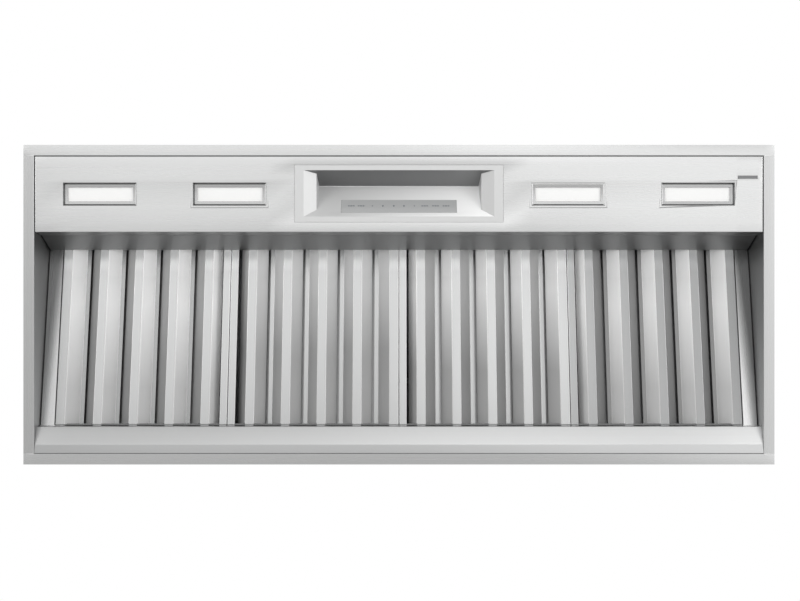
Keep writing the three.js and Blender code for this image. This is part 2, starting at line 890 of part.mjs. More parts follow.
const rotor = new THREE.Group();
rotor.position.set(0, blowerY, blowerZ);
insert.add(rotor);
piece('blower_wheel_left', drum(-wheelX), galvanised, rotor);
piece('blower_wheel_right', drum(wheelX), galvanised, rotor);
const shaftEnd = wheelX + hubLength / 2 + shaftSpare;
piece(
  'motor_shaft',
  joined([bar(shaftRadius, -shaftEnd, shaftEnd, 'x', 0, 0, 12), ...hub(-wheelX), ...hub(wheelX)]),
  springSteel,
  rotor,
);

const motorHalf = motorLength / 2;
const motorStep = 6;
piece(
  'blower_motor',
  joined(
    [
      bar(motorRadius, -motorHalf + motorStep, motorHalf - motorStep, 'x', blowerY, blowerZ, 32),
      bar(motorRadius / 2, -motorHalf, motorHalf, 'x', blowerY, blowerZ, 20),
    ],
    [bar(shaftRadius + seatGap, -motorHalf - sheet, motorHalf + sheet, 'x', blowerY, blowerZ, 12)],
  ),
  motorBlack,
);

const strapInner = motorRadius + seatGap;
const strapOuter = strapInner + strapThickness;
const barReach = scrollInner - seatGap;
const strapBars = [0, 1, 2, 3].map((i) =>
  box(-barReach, barReach, -strapBar / 2, strapBar / 2, strapOuter - strapThickness / 2, strapOuter + strapBar)
    .rotateX((Math.PI * (2 * i + 1)) / 4)
    .translate(0, blowerY, blowerZ),
);
piece(
  'motor_bracket',
  joined(
    [bar(strapOuter, -strapWidth / 2, strapWidth / 2, 'x', blowerY, blowerZ, 32), ...strapBars],
    [bar(strapInner, -strapWidth, strapWidth, 'x', blowerY, blowerZ, 32)],
  ),
  galvanised,
);

// ---------------------------------------------------------------- discharge box and collar
const boxFloor = outletZ + seatGap;
const boxX = Math.max(scrollOuter, ductRadius) + dischargeMargin;
const boxFront = ductY - ductRadius - dischargeMargin;
const boxRear = Math.max(blowerY + scrollRadius(1.5 * Math.PI), ductY + ductRadius) + dischargeMargin;
const outletWindow = (x0, x1) =>
  box(
    x0 + sheet,
    x1 - sheet,
    blowerY + sheet,
    blowerY + scrollRadius(1.5 * Math.PI) - sheet,
    boxFloor - sheet,
    boxFloor + 2 * sheet,
  );
piece(
  'discharge_box',
  joined(
    [
      box(-boxX, boxX, boxFront, boxRear, boxFloor, underTop),
      box(
        -boxX - dischargeMargin,
        boxX + dischargeMargin,
        boxFront - dischargeMargin,
        boxRear + dischargeMargin,
        underTop - sheet,
        underTop,
      ),
    ],
    [
      box(
        -boxX + sheet,
        boxX - sheet,
        boxFront + sheet,
        boxRear - sheet,
        boxFloor + sheet,
        underTop + sheet,
      ),
      outletWindow(-scrollOuter, -scrollInner),
      outletWindow(scrollInner, scrollOuter),
    ],
  ),
  galvanised,
);

const collarBase = seatGap;
const collarInner = ductRadius - collarWall;
const stopTop = flapHeight - flapThickness / 2 - seatGap;
const collarProfile = [
  [collarInner, collarBase],
  [ductRadius + collarFlange, collarBase],
  [ductRadius + collarFlange, collarBase + collarWall],
  [ductRadius, collarBase + collarWall],
  [ductRadius, collarHeight],
  [collarInner, collarHeight],
  [collarInner, stopTop],
  [collarInner - flapStop, stopTop],
  [collarInner - flapStop, stopTop - collarWall],
  [collarInner, stopTop - collarWall],
  [collarInner, collarBase],
];
const collar = new THREE.LatheGeometry(
  collarProfile.map(([r, h]) => new THREE.Vector2(r, h)),
  40,
);
collar.rotateX(Math.PI / 2).translate(0, ductY, bodyHeight);
const rodHole = bar(rodRadius + seatGap, -2 * ductRadius, 2 * ductRadius, 'x', ductY, rodZ, 20);
const stopGap = box(
  -collarInner + sheet / 4,
  collarInner - sheet / 4,
  ductY - flapSetback,
  ductY + flapSetback,
  rodZ - flapSetback,
  rodZ + flapSetback,
);
piece('duct_collar', joined([collar], [rodHole, stopGap]), galvanised);
piece('damper_rod', bar(rodRadius, -ductRadius, ductRadius, 'x', ductY, rodZ, 20), springSteel);

// Each flap is a half disc with two knuckles on the rod; the two flaps' knuckles alternate.
const flapRadius = collarInner - flapClearance;
const knuckleRadius = rodRadius + seatGap + knuckleWall;
for (const [name, side] of [['damper_flap_front', -1], ['damper_flap_rear', 1]]) {
  const outline = [];
  const setAngle = Math.asin(flapSetback / flapRadius);
  const steps = 22;
  for (let i = 0; i <= steps; i++) {
    const angle = setAngle + ((Math.PI - 2 * setAngle) * i) / steps;
    outline.push([flapRadius * Math.cos(angle), side * flapRadius * Math.sin(angle)]);
  }
  const parts = [prism(outline, -flapThickness / 2, flapThickness / 2, 'z')];
  for (const place of [-1, 1]) {
    const middle = (place * knuckleSpacing) / 2 + side * knuckleLength * 0.7;
    const from = middle - knuckleLength / 2;
    const to = middle + knuckleLength / 2;
    parts.push(bar(knuckleRadius, from, to, 'x', 0, 0, 20));
    const reach = [side * (flapSetback + sheet), side * rodRadius].sort((a, b) => a - b);
    parts.push(box(from, to, reach[0], reach[1], -flapThickness / 2, flapThickness / 2));
  }
  const bore = bar(rodRadius + seatGap, -ductRadius, ductRadius, 'x', 0, 0, 20);
  const flap = piece(name, joined(parts, [bore]), galvanised);
  flap.position.set(0, ductY, rodZ);
}

// ---------------------------------------------------------------- wiring
const junctionX0 = -junctionFromCentre - junctionLength / 2;
const junctionX1 = -junctionFromCentre + junctionLength / 2;
const junctionY0 = clampY - junctionDepth / 2;
const junctionY1 = clampY + junctionDepth / 2;
const junctionZ0 = underTop - junctionHeight;
const conduitZ = underTop - junctionHeight / 2;
piece(
  'junction_box',
  joined(
    [box(junctionX0, junctionX1, junctionY0, junctionY1, junctionZ0, underTop)],
    [
      box(
        junctionX0 + coverThickness,
        junctionX1 - coverThickness,
        junctionY0 + coverThickness,
        junctionY1 - coverThickness,
        junctionZ0 - coverThickness,
        underTop - coverThickness,
      ),
      bar(clampRadius + seatGap, underTop - 3 * coverThickness, underTop + coverThickness, 'z', clampX, clampY),
    ],
  ),
  galvanised,
);
piece(
  'junction_box_cover',
  box(
    junctionX0,
    junctionX1,
    junctionY0,
    junctionY1,
    junctionZ0 - seatGap - coverThickness,
    junctionZ0 - seatGap,
  ),
  galvanised,
);

const clampLow = underTop - coverThickness - clampFlange;
piece(
  'cable_clamp',
  joined(
    [
      bar(clampRadius, clampLow, bodyHeight + clampHeight, 'z', clampX, clampY),
      bar(clampRadius + clampFlange, bodyHeight + seatGap, bodyHeight + clampFlange, 'z', clampX, clampY, 6),
    ],
    [bar(clampBore, clampLow - sheet, bodyHeight + clampHeight + sheet, 'z', clampX, clampY)],
  ),
  springSteel,
);

// The conduit leaves the junction box along the front, passes the partition and meets the motor.
const conduitPath = new THREE.CatmullRomCurve3(
  [
    [junctionX1 + seatGap, clampY, conduitZ],
    [junctionX1 + 60, clampY, conduitZ],
    [-180, clampY + 2, conduitZ - 8],
    [-70, clampY + 12, holeZ + 20],
    [conduitX - 18, ledgeBack[0] - 34, holeZ + 2],
    [conduitX, ledgeBack[0] - 6, holeZ],
    [conduitX, ledgeBack[0] + 20, holeZ],
    [conduitX, blowerY - motorRadius - 70, blowerZ + 24],
    [conduitX, blowerY - motorRadius - 26, blowerZ + 2],
    [conduitX, blowerY - motorRadius - seatGap, blowerZ],
  ].map(([x, y, z]) => vec(x, y, z)),
);
const conduitSection = new THREE.Shape();
conduitSection.absarc(0, 0, conduitRadius, 0, 2 * Math.PI);
piece(
  'wiring_conduit',
  new THREE.ExtrudeGeometry(conduitSection, { extrudePath: conduitPath, steps: 32, curveSegments: 4 }),
  boxGrey,
);

const driverX = driverFromCentre;
piece(
  'led_driver',
  joined([
    box(
      driverX - driverLength / 2,
      driverX + driverLength / 2,
      -innerY + seatGap,
      -innerY + seatGap + driverDepth,
      driverLevel,
      driverLevel + driverHeight,
    ),
    box(
      driverX - driverLength / 2 - driverEar,
      driverX + driverLength / 2 + driverEar,
      -innerY + seatGap,
      -innerY + seatGap + 2,
      driverLevel + driverHeight / 4,
      driverLevel + (driverHeight * 3) / 4,
    ),
  ]),
  boxGrey,
);

export default insert;
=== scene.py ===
# %% [markdown]
# # Range hood insert, seen from below
#
# A hood insert is the working half of a kitchen hood: a wide steel box that is pushed up into a
# cabinet and hangs by its flange. This lesson dresses the CAD model of one. The solids come in
# as a fixed frame, and each cell replaces a few of them with finer pieces, or gives them a
# finish. The photograph looks straight up at the underside, so that side gets the most care.

import json
import math

import bmesh
import bpy
from mathutils import Matrix, Vector

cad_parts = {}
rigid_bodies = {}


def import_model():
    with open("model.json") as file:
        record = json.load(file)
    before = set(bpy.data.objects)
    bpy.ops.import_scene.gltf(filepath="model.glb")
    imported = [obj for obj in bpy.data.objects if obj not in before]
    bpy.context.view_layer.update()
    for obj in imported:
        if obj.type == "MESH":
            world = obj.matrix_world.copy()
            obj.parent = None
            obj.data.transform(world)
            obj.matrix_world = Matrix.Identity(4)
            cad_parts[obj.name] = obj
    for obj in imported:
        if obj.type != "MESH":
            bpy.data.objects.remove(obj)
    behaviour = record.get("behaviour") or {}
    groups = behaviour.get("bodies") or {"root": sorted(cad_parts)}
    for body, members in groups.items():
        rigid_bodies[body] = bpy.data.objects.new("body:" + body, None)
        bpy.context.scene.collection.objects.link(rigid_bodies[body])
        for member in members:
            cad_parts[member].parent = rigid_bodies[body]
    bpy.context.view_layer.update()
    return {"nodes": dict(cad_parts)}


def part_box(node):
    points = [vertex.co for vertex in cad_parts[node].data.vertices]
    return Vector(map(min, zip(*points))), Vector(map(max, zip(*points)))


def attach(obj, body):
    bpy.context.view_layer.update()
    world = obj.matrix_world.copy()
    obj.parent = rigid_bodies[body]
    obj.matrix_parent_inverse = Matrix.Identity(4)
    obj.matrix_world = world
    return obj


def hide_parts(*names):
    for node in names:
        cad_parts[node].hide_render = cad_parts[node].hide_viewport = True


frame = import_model()
scene = bpy.context.scene
MM = 0.001

# %% [markdown]
# ## The camera
#
# The camera stands under the hood and looks straight up, with the cook's side at the top of the
# picture. A lens can be long and far away or wide and near. The walls of the hollow lean
# towards the middle of the photograph by a measurable amount, which fixes the distance at about
# 2.3 m, and the width of the flange then fixes the lens.

# %% Camera
camera_data = bpy.data.cameras.new("camera")
camera_data.sensor_width = 36.0
camera_data.lens = 58.45
camera = bpy.data.objects.new("camera", camera_data)
camera.location = (1.9 * MM, -7.4 * MM, -2300 * MM)
camera.rotation_euler = (math.pi, 0, 0)
scene.collection.objects.link(camera)
scene.camera = camera
print("camera at", tuple(round(v, 3) for v in camera.location), "lens", camera_data.lens)

# %% [markdown]
# ## The studio
#
# A floor just under the hood would hide it from this camera, so the pale floor lies far below,
# behind the camera, and the steel mirrors it. The world is plain white where the camera, a
# reflection or a view through glass meets it, and a little weaker as light. Wide, soft lamps
# stand around the camera: two in front, where the flat sheets mirror them, one to the right,
# because the photograph is brightest there, and one far out at each side for the slanted folds.
# Two more light the far side, for other views.


# %% Helpers for shader nodes
def put(tree, kind, **settings):
    """A node with its settings. A setting whose name is a socket's is set on that socket."""
    node = tree.nodes.new(kind)
    for key, value in settings.items():
        if hasattr(node, key):
            setattr(node, key, value)
        else:
            node.inputs[key.replace("_", " ")].default_value = value
    return node


def tie(tree, *pairs):
    """Links sockets in pairs: from, to."""
    for source, target in pairs:
        tree.links.new(source, target)


def calc(tree, operation, a, b):
    """The result of a math node on two values, each a socket or a number."""
    node = put(tree, "ShaderNodeMath", operation=operation)
    for slot, value in zip(node.inputs, (a, b)):
        if isinstance(value, (int, float)):
            slot.default_value = value
        else:
            tree.links.new(value, slot)
    return node.outputs[0]


# %% World and lamps
scene.view_settings.view_transform = "Standard"
world = bpy.data.worlds.new("studio")
scene.world = world
world.use_nodes = True
sky = world.node_tree
sky.nodes.clear()
ray = put(sky, "ShaderNodeLightPath").outputs
seen = calc(sky, "MAXIMUM", ray["Is Camera Ray"], ray["Is Glossy Ray"])
seen = calc(sky, "MAXIMUM", seen, ray["Is Transmission Ray"])
as_light = put(sky, "ShaderNodeBackground", Color=(1, 1, 1, 1), Strength=0.76)
as_seen = put(sky, "ShaderNodeBackground", Color=(1, 1, 1, 1), Strength=1.0)
either = put(sky, "ShaderNodeMixShader")
world_out = put(sky, "ShaderNodeOutputWorld")
tie(sky, (seen, either.inputs["Fac"]), (as_light.outputs[0], either.inputs[1]),
    (as_seen.outputs[0], either.inputs[2]), (either.outputs[0], world_out.inputs["Surface"]))


def lamp(name, spot, aim, width, height, power):
    """A soft rectangular lamp at spot that faces aim. It doesn't show to the camera."""
    data = bpy.data.lights.new(name, "AREA")
    data.shape = "RECTANGLE"
    data.size, data.size_y = width, height
    data.energy = power
    obj = bpy.data.objects.new(name, data)
    obj.location = spot
    obj.rotation_euler = (Vector(aim) - Vector(spot)).to_track_quat("-Z", "Y").to_euler()
    obj.visible_camera = False
    scene.collection.objects.link(obj)


lamp("front_soft", (-0.35, -1.25, -3.2), (-0.1, -0.2, 0.0), 2.6, 1.7, 8.5)
lamp("right_soft", (2.1, 0.1, -3.2), (0.3, 0.0, 0.0), 2.4, 1.9, 7.2)
lamp("front_spot", (0.75, -0.75, -3.15), (0.3, -0.2, 0.0), 1.3, 0.9, 1.9)
lamp("left_side", (-3.4, -1.6, -3.0), (-0.4, 0.0, 0.0), 2.2, 1.8, 44)
lamp("right_side", (3.5, -1.6, -3.0), (0.4, 0.0, 0.0), 2.2, 1.8, 46)
lamp("top_soft", (-0.8, -1.2, 2.6), (0, 0, 0.2), 2.2, 2.2, 9)
lamp("top_back", (1.2, 1.6, 2.2), (0, 0, 0.2), 1.6, 1.6, 5)

# %% [markdown]
# ## Shared effects
#
# Every sheet of steel here is brushed, so one node group draws the brush lines and every steel
# uses it with its own direction and strength. A noise that is squeezed in one direction and
# stretched in another gives lines. A second group gives the slow, cloudy changes of tone that
# any large sheet shows, a third the crystals of a zinc coat, and a fourth a steady change of
# tone from one side of a sheet to the other.


# %% Helpers for node groups
def new_group(name, outputs, **inputs):
    """A shader group with a Vector and other inputs, each with a default, and its sockets inside."""
    group = bpy.data.node_groups.new(name, "ShaderNodeTree")
    group.interface.new_socket("Vector", in_out="INPUT", socket_type="NodeSocketVector")
    for label, default in inputs.items():
        kind = "NodeSocketVector" if isinstance(default, tuple) else "NodeSocketFloat"
        group.interface.new_socket(label, in_out="INPUT", socket_type=kind).default_value = default
    for label in outputs:
        group.interface.new_socket(label, in_out="OUTPUT", socket_type="NodeSocketFloat")
    return group, put(group, "NodeGroupInput").outputs, put(group, "NodeGroupOutput").inputs


def around_one(tree, value, contrast):
    """1 + (value - 0.5) × contrast: a tone that swings about 1."""
    swing = calc(tree, "MULTIPLY", calc(tree, "SUBTRACT", value, 0.5), contrast)
    return calc(tree, "ADD", swing, 1.0)


# %% Brush lines
brush, given, result = new_group("brush_lines", ["Tone", "Height"], Stretch=(4.0, 900.0, 900.0), Contrast=0.1)
squeeze = put(brush, "ShaderNodeVectorMath", operation="MULTIPLY")
noise = put(brush, "ShaderNodeTexNoise", Scale=1.0, Detail=5.0, Roughness=0.72)
tie(brush, (given["Vector"], squeeze.inputs[0]), (given["Stretch"], squeeze.inputs[1]),
    (squeeze.outputs[0], noise.inputs["Vector"]), (noise.outputs["Fac"], result["Height"]),
    (around_one(brush, noise.outputs["Fac"], given["Contrast"]), result["Tone"]))
print("group:", brush.name, [s.name for s in brush.interface.items_tree])

# %% Slow clouds of tone
clouds, given, result = new_group("tone_clouds", ["Tone"], Size=3.0, Contrast=0.06)
noise = put(clouds, "ShaderNodeTexNoise", Detail=2.0, Roughness=0.5)
tie(clouds, (given["Vector"], noise.inputs["Vector"]), (given["Size"], noise.inputs["Scale"]),
    (around_one(clouds, noise.outputs["Fac"], given["Contrast"]), result["Tone"]))
print("group:", clouds.name)

# %% Zinc crystals
spangle, given, result = new_group("zinc_crystals", ["Tone", "Height"], Size=90.0, Contrast=0.35)
cells = put(spangle, "ShaderNodeTexVoronoi", feature="F1")
grey = put(spangle, "ShaderNodeSeparateColor")
tie(spangle, (given["Vector"], cells.inputs["Vector"]), (given["Size"], cells.inputs["Scale"]),
    (cells.outputs["Color"], grey.inputs[0]), (cells.outputs["Distance"], result["Height"]),
    (around_one(spangle, grey.outputs[0], given["Contrast"]), result["Tone"]))
print("group:", spangle.name)

# %% A steady change of tone across a sheet
# painted light and shade: a sheet lighter at one side than at the other
drift, given, result = new_group("tone_drift", ["Tone"], Along=(1.0, 0.0, 0.0), From=-1.0, To=1.0,
                                 Low=1.0, High=1.0)
reach = put(drift, "ShaderNodeVectorMath", operation="DOT_PRODUCT")
spread = put(drift, "ShaderNodeMapRange")
tie(drift, (given["Vector"], reach.inputs[0]), (given["Along"], reach.inputs[1]),
    (reach.outputs["Value"], spread.inputs["Value"]), (given["From"], spread.inputs["From Min"]),
    (given["To"], spread.inputs["From Max"]), (given["Low"], spread.inputs["To Min"]),
    (given["High"], spread.inputs["To Max"]), (spread.outputs[0], result["Tone"]))
print("groups:", [g.name for g in bpy.data.node_groups])

# %% [markdown]
# ## Finishes
#
# A steel in this lesson is a Principled shader, mostly with Metallic at 1. Its colour is a plain
# grey times the clouds and the brush lines, and the lines also turn the surface a little through
# a Bump node and make it more or less rough. Each sheet has its own brushing direction, so a
# function makes the steels and the Stretch input says which way the lines run.


# %% Helpers for finishes
def surface(name):
    """A new material with its node tree, shader and Object coordinates."""
    mat = bpy.data.materials.new(name)
    mat.use_nodes = True
    tree = mat.node_tree
    return mat, tree, tree.nodes["Principled BSDF"], put(tree, "ShaderNodeTexCoord").outputs["Object"]


def use(tree, group, vector, **values):
    """The outputs of a shared group that is placed in a material with its own values."""
    node = put(tree, "ShaderNodeGroup", node_tree=group)
    tree.links.new(vector, node.inputs["Vector"])
    for key, value in values.items():
        node.inputs[key].default_value = value
    return node.outputs


def shade(tree, bsdf, colour, tones):
    """Sets the base colour to a plain colour times all the tones."""
    whole = tones[0]
    for tone in tones[1:]:
        whole = calc(tree, "MULTIPLY", whole, tone)
    mix = put(tree, "ShaderNodeVectorMath", operation="SCALE")
    mix.inputs[0].default_value = colour
    tie(tree, (whole, mix.inputs["Scale"]), (mix.outputs[0], bsdf.inputs["Base Color"]))


def gloss(tree, bsdf, value, low, high, rough, share):
    """Lets a value from low to high change the roughness by a share, down and up."""
    span = put(tree, "ShaderNodeMapRange", From_Min=low, From_Max=high,
               To_Min=rough * (1 - share), To_Max=rough * (1 + share))
    tie(tree, (value, span.inputs["Value"]), (span.outputs[0], bsdf.inputs["Roughness"]))


def relief(tree, bsdf, height, strength, depth):
    """Turns the surface a little where a height changes. The depth is in metres."""
    turn = put(tree, "ShaderNodeBump", Strength=strength, Distance=depth)
    tie(tree, (height, turn.inputs["Height"]), (turn.outputs[0], bsdf.inputs["Normal"]))


# %% Brushed steels
ALONG_X = (1.0, 320.0, 320.0)
ALONG_Y = (320.0, 1.0, 320.0)
ALONG_SLOPE = (320.0, 1.0, 1.0)  # for what lies in the filters' plane
TO_RIGHT, TO_REAR = (1.0, 0.0, 0.0), (0.0, 1.0, 0.0)


def steel(name, colour, run=ALONG_X, rough=0.3, lines=0.06, metal=1.0, tones=()):
    """Brushed sheet steel: colour times clouds and brush lines, which also move the gloss.

    tones lists slow changes of painted light and shade: a direction, two places along it in metres,
    the tone at each."""
    mat, tree, bsdf, where = surface(name)
    brushed = use(tree, brush, where, Stretch=run, Contrast=lines)
    cloudy = use(tree, clouds, where, Size=3.0, Contrast=0.05)
    slow = [use(tree, drift, where, Along=along, From=start, To=end, Low=low, High=high)
            for along, start, end, low, high in tones]
    shade(tree, bsdf, colour, [group["Tone"] for group in (brushed, cloudy, *slow)])
    gloss(tree, bsdf, brushed["Height"], 0.0, 1.0, rough, 0.2)
    relief(tree, bsdf, brushed["Height"], 0.08, 0.00004)
    bsdf.inputs["Metallic"].default_value = metal
    return mat


flange_steel = steel("flange_steel", (0.56, 0.563, 0.563), rough=0.27)
# darker than the front and rear flanges' steel: painted shade on the side flanges
flange_steel_y = steel("flange_steel_y", (0.50, 0.503, 0.503), ALONG_Y, rough=0.27)
outer_steel = steel("outer_steel", (0.55, 0.553, 0.555), rough=0.38, lines=0.08)
panel_steel = steel("panel_steel", (0.60, 0.603, 0.603), rough=0.28, lines=0.05)
# the inside of the hollow: the same brushed steel painted darker, as painted shade
cavity_shade = steel("cavity_shade", (0.30, 0.303, 0.305), rough=0.42)
cavity_side_shade = steel("cavity_side_shade", (0.32, 0.323, 0.324), ALONG_Y, rough=0.34)
# the fillers' steels are painted: each grows darker towards its side wall as painted shade, and the right one
# is a lighter copy, a painted highlight
filler_left = steel("filler_left", (0.56, 0.563, 0.564), ALONG_SLOPE, rough=0.28,
                    tones=[((-1.0, -0.081, 0.0), 0.614, 0.634, 1.0, 0.42)])
filler_right = steel("filler_right", (0.70, 0.703, 0.704), ALONG_SLOPE, rough=0.28,
                     tones=[((1.0, -0.081, 0.0), 0.612, 0.634, 1.0, 0.25)])
# near black: painted shadow for the gaps at the seams
seam_shadow = steel("seam_shadow", (0.02, 0.02, 0.021), rough=0.5, lines=0.1, metal=0.4)
# both rail steels grow lighter towards the right as painted light; the second is a darker copy, painted shade
# on the facet past the crease
rail_steel = steel("rail_steel", (0.5, 0.503, 0.504), tones=[(TO_RIGHT, -0.6, 0.6, 0.88, 1.5)])
rail_facet_shade = steel("rail_facet_shade", (0.43, 0.433, 0.434), tones=[(TO_RIGHT, -0.6, 0.6, 0.88, 1.16)])
spring_blue = steel("spring_blue", (0.34, 0.35, 0.37), lines=0.05)
sink_grey = steel("sink_grey", (0.30, 0.31, 0.32), ALONG_Y, rough=0.42, lines=0.1)
print("steels of the body:", len(bpy.data.materials))

# %% [markdown]
# ## Steels for the frames and the folds
#
# The frames of the lights and of the control are satin, with little metal in the shader. Their
# outer rings, the pocket's cheeks and its slope get painted light and shade. The folds of a
# filter lean 55 degrees, and each mirrors another part of the room than its neighbour, so every
# kind of fold has its own painted reflection: a lighter or darker copy of one steel. All are
# paler at their front ends, painted light where the hollow shades them, and darker towards the rear.

# %% Frames and folds
bezel_satin = steel("bezel_satin", (0.62, 0.622, 0.622), rough=0.42, lines=0.03, metal=0.35)
# painted light on the pocket: the cheeks' steel is lighter than the border's and grows darker to the right,
# the slope grows lighter to the right, and the front wall gets a dark steel as painted shade
cheek_satin = steel("cheek_satin", (0.68, 0.682, 0.682), rough=0.42, lines=0.03, metal=0.2,
                    tones=[(TO_RIGHT, -0.11, 0.13, 1.0, 0.74)])
slope_satin = steel("slope_satin", (0.54, 0.542, 0.542), rough=0.5, lines=0.03, metal=0.1,
                    tones=[(TO_RIGHT, -0.11, 0.14, 1.02, 1.75)])
pocket_shade = steel("pocket_shade", (0.20, 0.202, 0.204), lines=0.03, metal=0.8)
# the lights' rims: a lighter and a darker copy of the rim steel follow, as painted highlight and painted
# shade on the outer rings
light_rim = steel("light_rim", (0.46, 0.461, 0.462), rough=0.24, lines=0.02, metal=0.7)
rim_lit = steel("rim_lit", (0.92, 0.922, 0.922), rough=0.4, lines=0.02, metal=0.1)
rim_shade = steel("rim_shade", (0.18, 0.181, 0.182), lines=0.02)

# painted light at the filters' front ends, where the hollow shades them; the flats then darken towards the
# rear as painted shade
FRONT_EDGE = (TO_REAR, -0.098, -0.060, 1.5, 1.0)
FRONT_FOLD = (TO_REAR, -0.095, -0.050, 1.3, 1.0)
flat_tones = [FRONT_EDGE, (TO_REAR, -0.06, 0.2, 1.05, 0.8)]
# the second flat steel is a darker copy: painted shade on the last filter's flats
flat_near, flat_shaded = [
    steel(name, colour, ALONG_SLOPE, rough=0.22, lines=0.05, metal=0.5, tones=flat_tones)
    for name, colour in (("baffle_bright", (0.57, 0.573, 0.574)), ("baffle_shaded", (0.42, 0.423, 0.424)))
]
# one steel in lighter and darker copies: painted reflections that differ from fold to fold, each paler at the
# front and darker towards the rear
fold_lit, fold_pale, fold_mid, fold_soft, fold_dim, fold_dark = [
    steel(f"fold_{label}", (grey, grey, grey), ALONG_SLOPE, rough=0.4, lines=0.04, metal=metal,
          tones=[FRONT_FOLD, (TO_REAR, start, end, low, high)])
    for label, grey, metal, start, end, low, high in (
        ("lit", 0.95, 0.0, 0.00, 0.15, 1.03, 0.64), ("pale", 0.65, 0.3, -0.03, 0.12, 1.48, 0.72),
        ("mid", 0.56, 0.35, -0.05, 0.10, 1.34, 0.90), ("soft", 0.43, 0.35, -0.05, 0.08, 1.55, 0.90),
        ("dim", 0.35, 0.35, -0.05, 0.10, 1.28, 0.94), ("dark", 0.29, 0.35, -0.05, 0.20, 1.00, 0.88))
]
# the upper channels' steel is darker: painted shade deep in the filter
baffle_upper_shade = steel("baffle_upper_shade", (0.34, 0.342, 0.344), ALONG_SLOPE, lines=0.05)
# a dark steel for the filters' rear ends: painted shadow
end_shadow = steel("end_shadow", (0.19, 0.192, 0.194), rough=0.5, lines=0.1, metal=0.4)
print("steels:", len(bpy.data.materials))

# %% [markdown]
# ## Zinc and plastics
#
# Galvanised sheet shows crystals, each with its own grey, under cloudy stains. A moulded plastic
# has a fine leathery grain. Both reuse the shared groups, as the steels do.


# %% Zinc, plastics and glass
def zinc(name, colour, rough=0.42):
    """Galvanised sheet: zinc crystals, each with its own tone, and cloudy stains."""
    mat, tree, bsdf, where = surface(name)
    crystal = use(tree, spangle, where, Size=70.0, Contrast=0.28)
    cloudy = use(tree, clouds, where, Size=6.0, Contrast=0.15)
    shade(tree, bsdf, colour, [crystal["Tone"], cloudy["Tone"]])
    gloss(tree, bsdf, crystal["Tone"], 0.7, 1.3, rough, 0.2)
    relief(tree, bsdf, crystal["Height"], 0.12, 0.0001)
    bsdf.inputs["Metallic"].default_value = 1.0
    return mat


def plastic(name, colour, rough=0.5, grain=900.0, contrast=0.06, bump=0.2):
    """Moulded plastic or paint: a fine leathery grain in colour, gloss and bump."""
    mat, tree, bsdf, where = surface(name)
    pores = use(tree, clouds, where, Size=grain, Contrast=contrast)["Tone"]
    cloudy = use(tree, clouds, where, Size=8.0, Contrast=0.05)["Tone"]
    shade(tree, bsdf, colour, [pores, cloudy])
    gloss(tree, bsdf, pores, 1 - contrast, 1 + contrast, rough, 0.1)
    relief(tree, bsdf, pores, bump, 0.00005)
    return mat


zinc_sheet = zinc("zinc_sheet", (0.50, 0.515, 0.53))
motor_black = plastic("motor_black", (0.035, 0.037, 0.042), rough=0.42)
box_grey = plastic("box_grey", (0.09, 0.095, 0.105), rough=0.55)
badge_grey = plastic("badge_grey", (0.19, 0.19, 0.195), rough=0.4, bump=0.05)
glass_grey = plastic("glass_grey", (0.41, 0.415, 0.417), rough=0.16, grain=200.0, contrast=0.02, bump=0.0)
mark_ink = plastic("mark_ink", (0.14, 0.16, 0.17), bump=0.0)
board_green = plastic("board_green", (0.03, 0.10, 0.05), rough=0.45)
lens_milk = plastic("lens_milk", (0.88, 0.88, 0.875), rough=0.35, grain=300.0, contrast=0.02, bump=0.05)
lens_shader = lens_milk.node_tree.nodes["Principled BSDF"]
lens_shader.inputs["Emission Color"].default_value = (1, 1, 1, 1)
lens_shader.inputs["Emission Strength"].default_value = 0.02
print("materials:", len(bpy.data.materials))

# %% [markdown]
# ## Bending sheet
#
# Nearly every part of a hood is folded from flat sheet. The same can be done here: a line of
# folds seen from the end becomes a few vertices, extruding their edges gives the sheet, bevelling
# the fold edges rounds each bend, and a Solidify modifier gives the sheet its thickness. A
# Weighted Normal modifier keeps the flats flat to the eye while the bends shade smoothly.

# %% From fold lines to a sheet
AXES = {"x": (1, 2, 0), "y": (0, 2, 1)}  # where a, b and the run go


def point(axis, a, b, run):
    """Millimetres in the fold plane and along the run, as metres in the hood's frame."""
    spot = [0.0, 0.0, 0.0]
    for place, value in zip(AXES[axis], (a, b, run)):
        spot[place] = value * MM
    return Vector(spot)


def new_of(made, kind):
    """The vertices or faces among what an operation has made."""
    return [g for g in made["geom"] if isinstance(g, kind)]


def move_new(bm, made, shift):
    """Moves the vertices that an operation has made, in metres."""
    bmesh.ops.translate(bm, verts=new_of(made, bmesh.types.BMVert), vec=shift)


def rounded(bm, edges, width, segments=2, clamp=False):
    """Bevels edges by a width in millimetres."""
    bmesh.ops.bevel(bm, geom=list(edges), offset=width * MM, offset_type="OFFSET", segments=segments,
                    profile=0.5, affect="EDGES", material=-1, clamp_overlap=clamp)


def fold(bm, folds, axis, start, end, bend=1.6, segments=3):
    """Adds a bent sheet to bm; its front faces look to the right of the fold line."""
    corners = [bmesh.ops.create_vert(bm, co=point(axis, a, b, start))["vert"][0] for a, b in folds]
    made = bmesh.ops.extrude_edge_only(bm, edges=[bm.edges.new(p) for p in zip(corners, corners[1:])])
    move_new(bm, made, point(axis, 0, 0, end - start))
    faces = new_of(made, bmesh.types.BMFace)
    first = min(faces, key=lambda f: (f.calc_center_median() - corners[0].co).length)
    (a0, b0), (a1, b1) = folds[:2]
    first.normal_update()
    if first.normal.dot(point(axis, b1 - b0, a0 - a1, 0)) < 0:
        bmesh.ops.reverse_faces(bm, faces=faces)
    creases = {e for f in faces for e in f.edges if len(e.link_faces) == 2}
    if bend and creases:
        rounded(bm, creases, bend, segments, clamp=True)


def mirrored(folds, side):
    """A fold line as it is for side -1, and its mirror image, read backwards, for side 1."""
    return folds if side < 0 else [(-a, b) for a, b in reversed(folds)]


